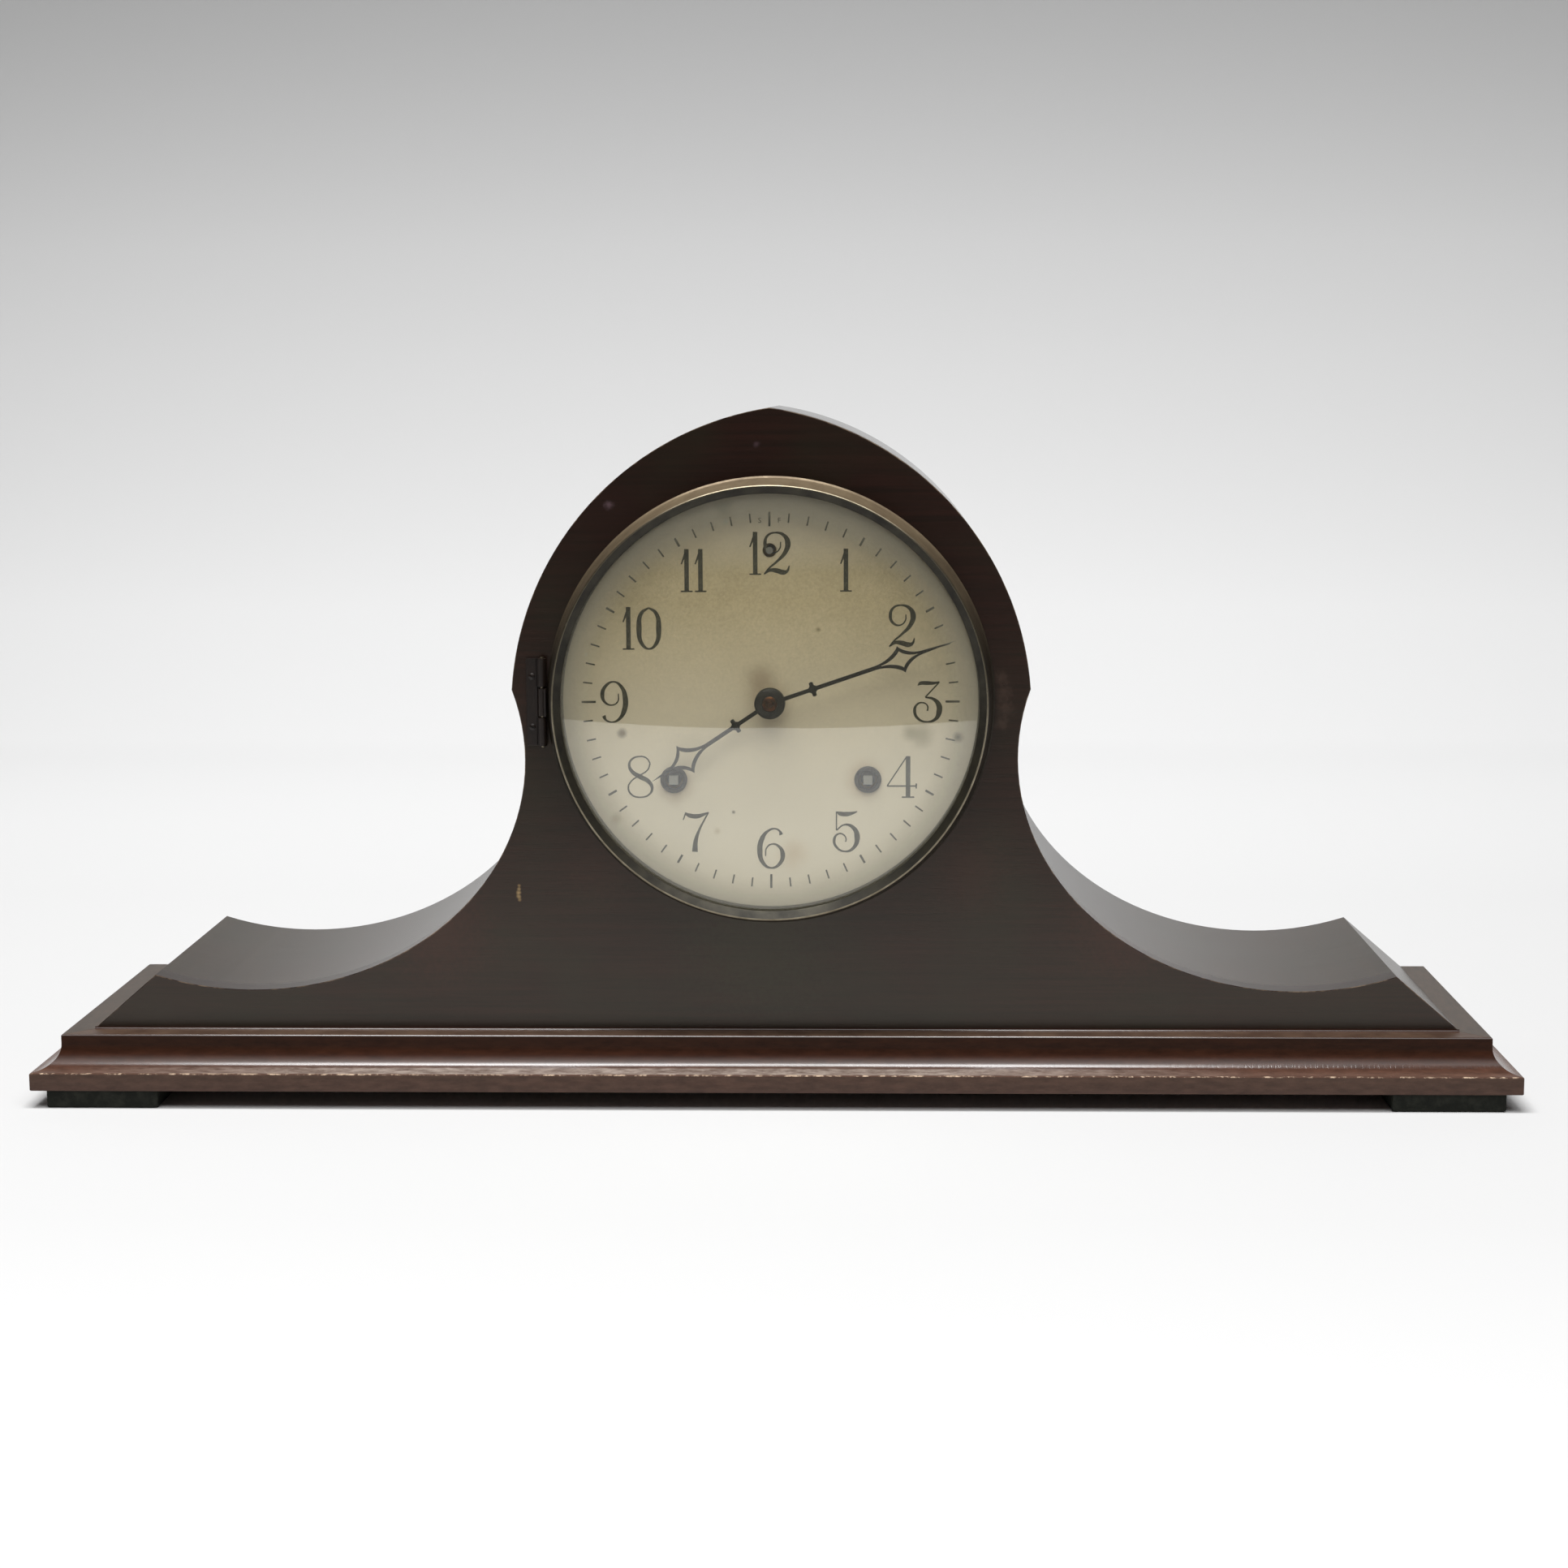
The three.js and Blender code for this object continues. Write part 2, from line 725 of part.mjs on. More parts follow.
// The phase of a pinion whose gap takes the nearest tooth of a wheel that has a tooth at angle zero.
function pinionPhase(wheelAt, pinionAt, pair) {
  const heading = Math.atan2(pinionAt.z - wheelAt.z, pinionAt.x - wheelAt.x);
  const share = heading / ((2 * Math.PI) / pair.teeth);
  return heading + Math.PI + (share + 0.5) * ((2 * Math.PI) / pair.pinion);
}

// Four windows between a wheel's hub and rim.
function crossings(place, pair) {
  const root = (pair.teeth / 2 - wheelTooth.dedendum) * pair.module;
  const rim = root - rimWidth;
  return [0, 1, 2, 3].map((quarter) => {
    const turn = (quarter * Math.PI) / 2;
    const edge = (radius, steps) => {
      const side = Math.asin(spokeWidth / 2 / radius);
      return arc(place.x, place.z, radius, radius, turn + side, turn + Math.PI / 2 - side, steps);
    };
    return [...edge(rim, 4), ...edge(hubRadius, 1).reverse()];
  });
}

function trainWheel(place, pair, depth, thickness = wheelThickness) {
  const outline = toothed(place, pair.teeth, pair.module, 0, wheelTooth);
  return slab(outline, crossings(place, pair), plateInner + depth, plateInner + depth + thickness);
}

function trainPinion(wheelAt, place, pair, depth, thickness = wheelThickness) {
  const outline = toothed(place, pair.pinion, pair.module, pinionPhase(wheelAt, place, pair), pinionTooth);
  const front = plateInner + depth - pinionOverhang;
  return slab(outline, [], front, front + thickness + 2 * pinionOverhang);
}

// An arbor is no thicker than the roots of its pinion.
function arborFor(pair) {
  return Math.min(arborRadius, (pair.pinion / 2 - pinionTooth.dedendum) * pair.module);
}

function arbor(place, radius = arborRadius, front = plateFront, back = rearBack) {
  return disc(place, radius, front, back, 10);
}

// Lifts a piece that is drawn about the dial's centre to the dial's height.
function raised(geometry) {
  return geometry.translate(0, 0, dialZ);
}

// Movement frame

const plateHoles = [
  [secondAt, arborFor(great)],
  [origin, arborFor(second)],
  [thirdAt, arborFor(centre)],
  [escapeAt, arborFor(third)],
  [vergeAt, arborRadius],
  [liftingAt, arborFor(great)],
  [strikeThirdAt, arborFor(lifting)],
  [flyAt, arborFor(strikeThird)],
  [windLeft, windRadius],
  [windRight, windRadius],
  [regulatorAt, regulatorRadius],
];
const pillarPlaces = [
  { x: -lowerPillar.x, z: lowerPillar.z },
  { x: lowerPillar.x, z: lowerPillar.z },
  { x: -upperPillar.x, z: upperPillar.z },
  { x: upperPillar.x, z: upperPillar.z },
];

function plateOutline() {
  const low = lowerPillar.z - plateMargin;
  const high = upperPillar.z + plateMargin;
  const wide = lowerPillar.x + plateMargin;
  const narrow = upperPillar.x + plateMargin;
  const half = [[wide, low], [wide, high / 3], [narrow, high]];
  const right = half.map(([x, z]) => new THREE.Vector2(x, z));
  return [...right, ...flipped(right).reverse()];
}

function pivotedPlate(front, back) {
  const holes = plateHoles.map(([place, radius]) => circle(place, radius + runGap, 12));
  return slab(plateOutline(), holes, front, back);
}

// The front plate with its four legs to the front board and the stud of the minute wheel.
function frontPlate() {
  const middle = plateFront + plate / 2;
  const legs = pillarPlaces.map((place) => disc(place, legRadius, boardBack + seatGap, middle));
  const studEnd = plateFront - hourWheelGap - 2 * wheelThickness - 3 * pinionOverhang;
  const stud = disc(minuteAt, studRadius, studEnd, middle);
  return raised(joined(pivotedPlate(plateFront, plateInner), stud, ...legs));
}

// The back plate with the cock of the pendulum and the pivot post of the hammer.
function rearPlate() {
  const bottom = vergeRise + cockRise;
  const cock = box(
    -cockHalfWidth,
    cockHalfWidth,
    rearBack - plate / 2,
    pendulumY + suspensionWidth,
    bottom,
    bottom + cockHeight,
  );
  const post = disc(hammerPivot, studRadius, rearBack - plate / 2, gongY + gongWire + seatGap);
  return raised(joined(pivotedPlate(rearInner, rearBack), cock, post));
}

function pillar(place) {
  return raised(disc(place, pillarRadius, plateInner + seatGap, rearInner - seatGap));
}

// Motion work

const hourWheelGap = 3.4;
const minuteWheelFront = plateFront - pinionOverhang - wheelThickness;
const hourWheelFront = plateFront - hourWheelGap - wheelThickness - pinionOverhang;

function cannonPinion() {
  const back = plateFront - runGap;
  const teethFront = minuteWheelFront - pinionOverhang / 2;
  const phase = pinionPhase(minuteAt, origin, minute);
  const outline = toothed(origin, minute.pinion, minute.module, phase, pinionTooth);
  const teeth = slab(outline, [circle(origin, cannonBore, 12)], teethFront, back);
  const profile = [
    [cannonBore, back],
    [cannonRadius, back],
    [cannonRadius, minuteBack + seatGap],
    [cannonNose, minuteBack + seatGap],
    [cannonNose, minuteFront],
    [cannonBore, minuteFront],
  ];
  return raised(joined(teeth, turned(profile, 12)));
}

function minuteWheel() {
  const bore = [circle(minuteAt, studRadius + runGap, 12)];
  const outline = toothed(minuteAt, minute.teeth, minute.module, 0, wheelTooth);
  const wheel = slab(outline, bore, minuteWheelFront, minuteWheelFront + wheelThickness);
  const phase = pinionPhase(origin, minuteAt, hour);
  const leaves = toothed(minuteAt, hour.pinion, hour.module, phase, pinionTooth);
  const front = hourWheelFront - pinionOverhang / 2;
  const pinion = slab(leaves, bore, front, minuteWheelFront + wheelThickness / 2);
  return raised(joined(wheel, pinion));
}

function hourWheel() {
  const bore = cannonRadius + runGap;
  const outline = toothed(origin, hour.teeth, hour.module, 0, wheelTooth);
  const wheel = slab(outline, [circle(origin, bore, 12)], hourWheelFront, hourWheelFront + wheelThickness);
  const pipe = tube(origin, bore, bore + pipeWall, hourFront, hourWheelFront + wheelThickness / 2, 12);
  return raised(joined(wheel, pipe));
}

// Going and striking trains

// A winding arbor with its square at the dial and the ratchet in front of its great wheel.
function windingArbor(place) {
  const squareFront = dialFront - windProud;
  const half = windSquare / 2;
  const square = box(place.x - half, place.x + half, squareFront, dialBack, place.z - half, place.z + half);
  const ratchetBack = plateInner + greatDepth - sideGap;
  const step = (2 * Math.PI) / ratchetTeeth;
  const outline = Array.from({ length: ratchetTeeth }, (_, i) => [
    [ratchetRadius, i * step],
    [ratchetRadius * ratchetRoot, (i + ratchetUndercut) * step],
  ])
    .flat()
    .map(([radius, angle]) => polar(place, radius, angle));
  const ratchet = slab(outline, [], ratchetBack - ratchetThickness, ratchetBack);
  return raised(joined(arbor(place, windRadius, dialBack, rearBack), square, ratchet));
}

// A great wheel that rides on its winding arbor, with the click riveted to its front.
function greatWheel(place) {
  const front = plateInner + greatDepth;
  const outline = toothed(place, great.teeth, great.module, 0, wheelTooth);
  const wheel = slab(outline, [circle(place, windRadius + runGap, 16)], front, front + greatThickness);
  const inner = place.x + ratchetRadius + fitGap;
  const click = box(
    inner,
    inner + clickLength,
    front - sideGap - ratchetThickness,
    front + greatThickness / 2,
    place.z - clickWidth / 2,
    place.z + clickWidth / 2,
  );
  return raised(joined(wheel, click));
}

// A flat strip wound outwards from the winding arbor. Its last part of a turn swings out to a pillar.
function mainspring(place, hook) {
  const heading = Math.atan2(hook.z - place.z, hook.x - place.x);
  const outerRadius = Math.hypot(hook.x - place.x, hook.z - place.z) - pillarRadius - fitGap - springStrip;
  const innerRadius = windRadius + fitGap;
  const steps = springTurns * 16;
  const edge = (offset) =>
    Array.from({ length: steps + 1 }, (_, i) => {
      const left = (springTurns * (steps - i)) / steps;
      const swing = Math.max(0, 1 - left / springTail) * (outerRadius - springCoil);
      const radius = innerRadius + ((springCoil - innerRadius) * i) / steps + swing + offset;
      const angle = heading - 2 * Math.PI * left;
      return polar(place, radius, angle);
    });
  const outline = [...edge(springStrip), ...edge(0).reverse()];
  const front = plateInner + greatDepth + greatThickness + sideGap;
  return raised(slab(outline, [], front, front + springWidth));
}

function secondWheel() {
  const pinion = trainPinion(windRight, secondAt, great, greatDepth, greatThickness);
  return raised(joined(arbor(secondAt, arborFor(great)), pinion, trainWheel(secondAt, second, secondDepth)));
}

// The centre arbor reaches forward through the cannon pinion.
function centreWheel() {
  const shaft = arbor(origin, arborFor(second), minuteBack, rearBack);
  const pinion = trainPinion(secondAt, origin, second, secondDepth);
  return raised(joined(shaft, pinion, trainWheel(origin, centre, centreDepth)));
}

function thirdWheel() {
  const pinion = trainPinion(origin, thirdAt, centre, centreDepth);
  return raised(joined(arbor(thirdAt, arborFor(centre)), pinion, trainWheel(thirdAt, third, thirdDepth)));
}

function escapeWheel() {
  const step = (2 * Math.PI) / escapeTeeth;
  const corners = [[0, escapeRadius], [0.25, escapeRadius - escapeToothDepth]];
  const outline = Array.from({ length: escapeTeeth }, (_, i) =>
    corners.map(([share, radius]) => {
      const angle = (i + share) * step;
      return polar(escapeAt, radius, angle);
    }),
  ).flat();
  const front = plateInner + escapeDepth;
  const wheel = slab(outline, [], front, front + wheelThickness);
  const pinion = trainPinion(thirdAt, escapeAt, third, thirdDepth);
  return raised(joined(arbor(escapeAt, arborFor(third)), pinion, wheel));
}

// The verge: a two-armed pallet piece on an arbor, with a crutch behind the plates whose fork takes the rod.
function verge() {
  const front = plateInner + escapeDepth + wheelThickness / 2 - palletDepth / 2;
  const tipRadius = escapeRadius + palletClearance;
  const arms = [-1, 1].map((side) => {
    const tip = along(escapeAt, tipRadius, side * palletAngle);
    const root = along(vergeAt, palletWidth, 180 - side * palletRootAngle);
    const outline = [
      [vergeAt.x, vergeAt.z + palletWidth],
      [tip.x + (side * palletWidth) / 2, tip.z + palletWidth / 2],
      [tip.x, tip.z],
      [tip.x - (side * palletWidth) / 2, tip.z + palletWidth / 2],
      [root.x - side * palletWidth, root.z],
    ];
    return slab(outline.map(([x, z]) => new THREE.Vector2(x, z)), [], front, front + palletDepth);
  });
  const hub = disc(vergeAt, palletWidth, front, front + palletDepth);
  const crutchY = rearBack + crutchDepth;
  const forkTop = vergeRise - crutchLength;
  const wire = rod(
    new THREE.Vector3(0, crutchY, vergeRise),
    new THREE.Vector3(0, crutchY, forkTop - forkHeight / 2),
    crutchRadius,
  );
  const prongX = rodRadius + fitGap;
  const prong = 2 * crutchRadius;
  const yoke = box(
    -prongX - prong,
    prongX + prong,
    crutchY - crutchRadius,
    crutchY + crutchRadius,
    forkTop - forkHeight,
    forkTop,
  );
  const prongs = [-1, 1].map((side) => {
    const near = side * prongX;
    const far = side * (prongX + prong);
    const back = pendulumY + rodRadius + crutchRadius;
    return box(Math.min(near, far), Math.max(near, far), crutchY, back, forkTop - forkHeight, forkTop);
  });
  const shaft = arbor(vergeAt, arborRadius, plateFront, crutchY + crutchRadius);
  return raised(joined(shaft, hub, ...arms, wire, yoke, ...prongs));
}

function regulatorArbor() {
  const back = rearBack + crutchDepth;
  const shaft = arbor(regulatorAt, regulatorRadius, dialFront - windProud, back);
  const overCock = regulatorRise - vergeRise - cockRise - cockHeight - fitGap;
  return raised(joined(shaft, disc(regulatorAt, overCock, rearBack + sideGap, back)));
}

// Suspension spring, rod and bob hang below the cock

const suspensionTop = vergeRise + cockRise - fitGap;
const suspensionFoot = suspensionTop - suspensionLength;
const bobAt = { x: 0, z: vergeRise - pendulumLength };

function suspensionSpring() {
  const half = suspensionWidth / 2;
  const thin = suspensionStrip / 2;
  return raised(box(-thin, thin, pendulumY - half, pendulumY + half, suspensionFoot, suspensionTop));
}

function pendulumRod() {
  const top = new THREE.Vector3(0, pendulumY, suspensionFoot - seatGap);
  const foot = new THREE.Vector3(0, pendulumY, bobAt.z + bobRadius + seatGap);
  return raised(rod(top, foot, rodRadius));
}

function pendulumBob() {
  const edge = bobThickness / 6;
  const half = bobThickness / 2;
  const profile = [
    [0, pendulumY - half],
    [bobRadius * bobShoulder, pendulumY - half * bobShoulder],
    [bobRadius, pendulumY - edge / 2],
    [bobRadius, pendulumY + edge / 2],
    [bobRadius * bobShoulder, pendulumY + half * bobShoulder],
    [0, pendulumY + half],
  ];
  return raised(turned(profile, 24, bobAt));
}

// Striking side

// The lifting wheel's arbor reaches out behind the back plate with the star that trips the hammer.
function liftingWheel() {
  const pinion = trainPinion(windLeft, liftingAt, great, greatDepth, greatThickness);
  const camFront = rearBack + sideGap;
  const star = Array.from({ length: 2 * camPoints }, (_, i) => {
    const radius = i % 2 ? camRadius / 2 : camRadius;
    const angle = (i * Math.PI) / camPoints;
    return polar(liftingAt, radius, angle);
  });
  const cam = slab(star, [], camFront, camFront + camThickness);
  const shaft = arbor(liftingAt, arborFor(great), plateFront, camFront + camThickness);
  return raised(joined(shaft, pinion, trainWheel(liftingAt, lifting, secondDepth), cam));
}

function strikeThirdWheel() {
  const pinion = trainPinion(liftingAt, strikeThirdAt, lifting, secondDepth);
  const wheel = trainWheel(strikeThirdAt, strikeThird, thirdDepth);
  return raised(joined(arbor(strikeThirdAt, arborFor(lifting)), pinion, wheel));
}

function fly() {
  const pinion = trainPinion(strikeThirdAt, flyAt, strikeThird, thirdDepth);
  const front = plateInner + flyDepth;
  const blade = box(
    flyAt.x - flyHalfWidth,
    flyAt.x + flyHalfWidth,
    front,
    front + flyLength,
    flyAt.z - flyBlade / 2,
    flyAt.z + flyBlade / 2,
  );
  return raised(joined(arbor(flyAt, arborFor(strikeThird)), pinion, blade));
}

// A wire gong in a flat spiral about the boss of its stand.
const gongZ = baseTop + gongHeight - dialZ;
const gongInner = gongPost + gongWire + fitGap;

function gongRadiusAt(share) {
  return gongInner + (gongRadius - gongInner) * share;
}

class GongSpiral extends THREE.Curve {
  getPoint(share, target = new THREE.Vector3()) {
    const radius = gongRadiusAt(share);
    const angle = THREE.MathUtils.degToRad(gongEndAngle) - 2 * Math.PI * gongTurns * (1 - share);
    return target.set(gongX + radius * Math.cos(angle), gongY, gongZ + radius * Math.sin(angle));
  }
}

function gong() {
  const spiral = new GongSpiral();
  const steps = Math.round(gongTurns * 16);
  const section = new THREE.Shape(circle(origin, gongWire, 5));
  const points = spiral.getPoints(steps * 4);
  const apart = Math.round((steps * 4) / gongTurns / 2);
  let least = Infinity;
  points.forEach((a, i) =>
    points.slice(i + apart).forEach((b) => {
      least = Math.min(least, a.distanceTo(b) - 2 * gongWire);
    }),
  );
  console.log("least gap between the gong's turns:", least.toFixed(2), "mm");
  const wire = new THREE.ExtrudeGeometry(section, { steps, extrudePath: spiral, bevelEnabled: false });
  return raised(closed(wire));
}

function gongStand() {
  const floor = caseFloor - dialZ;
  const postBack = gongY + gongWire + standColumn;
  const middle = gongY + gongWire + standColumn / 2;
  const flange = box(
    gongX - standLength / 2,
    gongX + standLength / 2,
    middle - standDepth / 2,
    Math.min(middle + standDepth / 2, backInner - seatGap),
    floor,
    floor + standFoot,
  );
  const half = standColumn / 2;
  const column = box(gongX - half, gongX + half, middle - half + sideGap, postBack, floor, gongZ + half);
  const boss = disc({ x: gongX, z: gongZ }, gongPost, gongY - gongWire, middle, 12);
  return raised(joined(flange, column, boss));
}

// The hammer hangs on its post over the top of the gong and is lifted by a tail at the star.
function hammer() {
  const gongTop = gongZ + gongRadiusAt(1 - (gongEndAngle - 90) / (360 * gongTurns)) + gongWire;
  const headFoot = gongTop + hammerRest;
  const head = box(
    gongX - hammerHead.halfLength,
    gongX + hammerHead.halfLength,
    gongY - hammerHead.depth / 2,
    gongY + hammerHead.depth / 2,
    headFoot,
    headFoot + hammerHead.height,
  );
  const sleeveFront = rearBack + sideGap;
  const sleeve = disc(hammerPivot, hammerSleeve, sleeveFront, gongY + gongWire, 12);
  const from = new THREE.Vector3(hammerPivot.x, gongY, hammerPivot.z);
  const to = new THREE.Vector3(gongX, gongY, headFoot + hammerHead.height / 2);
  const aside = liftingAt.x - hammerPivot.x;
  const above = liftingAt.z - hammerPivot.z;
  const toCam = Math.atan2(above, aside);
  const tailLength = Math.hypot(above, aside) - camRadius - sideGap;
  const tailY = sleeveFront + camThickness / 2;
  const tail = rod(
    new THREE.Vector3(hammerPivot.x, tailY, hammerPivot.z),
    new THREE.Vector3(
      hammerPivot.x + tailLength * Math.cos(toCam),
      tailY,
      hammerPivot.z + tailLength * Math.sin(toCam),
    ),
    hammerRod,
  );
  const bore = disc(hammerPivot, studRadius + runGap, rearBack, gongY + 2 * gongWire, 12);
  return raised(cut(joined(sleeve, rod(from, to, hammerRod), head, tail), bore));
}

// Materials

function finish(color, roughness, metalness) {
  return new THREE.MeshStandardMaterial({ color, roughness, metalness });
}

const mahogany = finish(0x2b1a17, 0.42, 0);
const moulding = finish(0x4a2119, 0.3, 0);
const rawWood = finish(0x8a6845, 0.8, 0);
const blackFelt = finish(0x151412, 0.9, 0);
const silvered = finish(0xb5ad92, 0.5, 0.1);
const bezelBrass = finish(0x6d5b45, 0.35, 1);
const brass = finish(0xb08d4a, 0.35, 1);
const steel = finish(0x8a8c8e, 0.35, 1);
const bluedBlack = finish(0x161616, 0.45, 0.6);
const iron = finish(0x2a2a2b, 0.6, 0.8);
const clearGlass = finish(0xe8efe9, 0.05, 0);

// Assembly

const clock = new THREE.Group();

function add(name, geometry, material) {
  const mesh = new THREE.Mesh(geometry, material);
  mesh.name = name;
  clock.add(mesh);
}

const sides = [["left", -1], ["right", 1]];

add("base_board", baseBoard(), moulding);
add("base_moulding_front", mouldingFront(), moulding);
add("front_panel", frontPanel(), mahogany);
add("back_panel", backPanel(), rawWood);
for (const [side, sign] of sides) {
  add("base_moulding_" + side, mouldingSide(sign), moulding);
  add("foot_front_" + side, foot(sign, -1), blackFelt);
  add("foot_back_" + side, foot(sign, 1), blackFelt);
  add("arch_skin_" + side, archSkin(sign), mahogany);
  add("wing_skin_" + side, wingSkin(sign), mahogany);
  add("end_block_" + side, endBlock(sign), mahogany);
}
add("back_door", backDoor(), rawWood);
add("back_door_knob", doorKnob(), brass);
add("back_door_fixed_leaf", doorLeaf(1, [0, 2], pinRod), brass);
add("back_door_moving_leaf", doorLeaf(-1, [1], pinBore), brass);

add("dial_plate", dialPlate(), silvered);
add("grommet_strike", grommet(windLeft), bluedBlack);
add("grommet_time", grommet(windRight), bluedBlack);
add("bezel_ring", bezelRing(), bezelBrass);
add("bezel_glass", bezelGlass(), clearGlass);
add("bezel_fixed_leaf", bezelFixedLeaf(), bezelBrass);
add("bezel_moving_leaf", bezelMovingLeaf(), bezelBrass);
const hourBore = cannonRadius + pipeWall + 2 * runGap;
const minuteBore = cannonNose + runGap;
add("hour_hand", hand(hourHand, hourBore, hourHandAngle, hourFront, hourBack), bluedBlack);
add("minute_hand", hand(minuteHand, minuteBore, minuteHandAngle, minuteFront, minuteBack), bluedBlack);
add("hand_nut", handNut(), brass);

add("movement_front_plate", frontPlate(), brass);
add("movement_back_plate", rearPlate(), brass);
pillarPlaces.forEach((place, i) => add("plate_pillar_" + (i + 1), pillar(place), steel));
add("cannon_pinion", cannonPinion(), brass);
add("minute_wheel", minuteWheel(), brass);
add("hour_wheel", hourWheel(), brass);

add("winding_arbor_time", windingArbor(windRight), steel);
add("great_wheel_time", greatWheel(windRight), brass);
add("mainspring_time", mainspring(windRight, pillarPlaces[1]), steel);
add("second_wheel", secondWheel(), brass);
add("centre_wheel", centreWheel(), brass);
add("third_wheel", thirdWheel(), brass);
add("escape_wheel", escapeWheel(), brass);
add("verge", verge(), steel);
add("regulator_arbor", regulatorArbor(), steel);
add("suspension_spring", suspensionSpring(), steel);
add("pendulum_rod", pendulumRod(), steel);
add("pendulum_bob", pendulumBob(), brass);

add("winding_arbor_strike", windingArbor(windLeft), steel);
add("great_wheel_strike", greatWheel(windLeft), brass);
add("mainspring_strike", mainspring(windLeft, pillarPlaces[0]), steel);
add("lifting_wheel", liftingWheel(), brass);
add("strike_third_wheel", strikeThirdWheel(), brass);
add("fly", fly(), brass);
add("hammer", hammer(), steel);
add("gong", gong(), steel);
add("gong_stand", gongStand(), iron);

export default clock;
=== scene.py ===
# %% [markdown]
# # A tambour mantel clock
# A tambour clock is a low mantel clock whose case swells in the middle like a drum and sweeps out into
# two scooped wings. This one has a pointed arch, a dark mahogany veneer and a moulded base. The measured
# model gives every size and every joint. This lesson puts the looks on it: smooth curves, eased edges,
# printed numerals and aged finishes.

# %% Load the measured clock
import bmesh
import bpy
import json
import math
from mathutils import Matrix, Vector

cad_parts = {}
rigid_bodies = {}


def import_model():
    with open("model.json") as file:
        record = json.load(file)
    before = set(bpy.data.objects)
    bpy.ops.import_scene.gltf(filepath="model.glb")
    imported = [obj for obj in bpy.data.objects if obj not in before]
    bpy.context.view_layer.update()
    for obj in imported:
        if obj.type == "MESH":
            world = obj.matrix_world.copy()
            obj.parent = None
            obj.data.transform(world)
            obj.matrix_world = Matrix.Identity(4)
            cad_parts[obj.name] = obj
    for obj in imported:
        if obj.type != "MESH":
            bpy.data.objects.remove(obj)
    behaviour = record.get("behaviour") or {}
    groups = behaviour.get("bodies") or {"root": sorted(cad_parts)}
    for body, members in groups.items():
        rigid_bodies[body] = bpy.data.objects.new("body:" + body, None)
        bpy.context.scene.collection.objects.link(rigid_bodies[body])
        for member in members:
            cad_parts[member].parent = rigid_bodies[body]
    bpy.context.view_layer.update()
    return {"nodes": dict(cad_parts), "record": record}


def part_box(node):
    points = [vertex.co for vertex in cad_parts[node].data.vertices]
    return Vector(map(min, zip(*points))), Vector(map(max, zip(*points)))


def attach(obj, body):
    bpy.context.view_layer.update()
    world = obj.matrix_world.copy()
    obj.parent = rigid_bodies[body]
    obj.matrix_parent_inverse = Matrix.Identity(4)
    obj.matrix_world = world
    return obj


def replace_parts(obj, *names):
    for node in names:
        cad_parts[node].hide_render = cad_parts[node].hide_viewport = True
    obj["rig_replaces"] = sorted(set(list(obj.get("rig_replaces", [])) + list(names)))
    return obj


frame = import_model()
cad_nodes = frame["nodes"]

# %% [markdown]
# ## Sizes
# The sizes of the case are read from the measured pieces, in millimetres. Only the curves need numbers of
# their own: the arch is two circles that cross at the point, and each wing is a quarter of an ellipse.

# %% Read the main sizes
MM = 0.001


def size_of(node):
    low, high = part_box(node)
    return low / MM, high / MM


board_low, board_high = size_of("front_panel")
CASE_FRONT, BOARD_BACK = board_low.y, board_high.y
CASE_HALF, CASE_FLOOR = board_high.x, board_low.z
CASE_BACK = size_of("arch_skin_left")[1].y
dial_low, dial_high = size_of("dial_plate")
DIAL_Z = (dial_low.z + dial_high.z) / 2
DIAL_FRONT, DIAL_BACK, DIAL_RADIUS = dial_low.y, dial_high.y, dial_high.x
END_X = size_of("end_block_right")[0].x

ARCH_RADIUS, ARCH_OFFSET, ARCH_Z = 107.5, 15.7, DIAL_Z - 3.8
SCOOP_X, SCOOP_Z, SCOOP_REACH, SCOOP_RISE = 186.7, DIAL_Z - 20.3, 99.5, 83.8
TIP_X = CASE_HALF - 22.6
print(f"case {2 * CASE_HALF:.1f} mm wide, dial centre {DIAL_Z:.1f} mm up")

# %% [markdown]
# ## Camera
# The camera stands a metre in front of the clock, a little above the dial and a little to the right, and
# looks down by eight degrees. Its directions are worked out from those angles, so that its frame is the
# photograph's, which is square, 1932 pixels each way.

# %% Place the camera
CAMERA_PLACE = Vector((35.05, -1030.1, 252.8)) * MM
YAW, PITCH, ROLL = math.radians(-1.774), math.radians(8.046), math.radians(-0.27)

ahead = Vector((math.sin(YAW) * math.cos(PITCH), math.cos(YAW) * math.cos(PITCH), -math.sin(PITCH)))
right = Vector((math.cos(YAW), -math.sin(YAW), 0))
above = right.cross(ahead)
right, above = (
    right * math.cos(ROLL) + above * math.sin(ROLL),
    above * math.cos(ROLL) - right * math.sin(ROLL),
)
eye = bpy.data.cameras.new("eye")
eye.sensor_width, eye.lens = 36, 64.43
camera = bpy.data.objects.new("camera", eye)
bpy.context.scene.collection.objects.link(camera)
turn = Matrix((right, above, -ahead)).transposed().to_4x4()
camera.matrix_world = Matrix.Translation(CAMERA_PLACE) @ turn
bpy.context.scene.camera = camera
print("camera at", [round(v, 3) for v in CAMERA_PLACE])

# %% [markdown]
# ## Tools for the finishes
# Every finish is a Principled shader with patterns behind it. Four small functions do the wiring: one
# turns a colour as painters write it (sRGB hex) into linear light, one adds a node with its settings and
# links, one starts a finish, and one fills the shader's sockets. Patterns read Object coordinates, which
# are metres in the clock's own frame.


# %% Finish tools
def colour(code):
    parts = [int(code[i : i + 2], 16) / 255 for i in (1, 3, 5)]
    return [c / 12.92 if c <= 0.04045 else ((c + 0.055) / 1.055) ** 2.4 for c in parts] + [1.0]


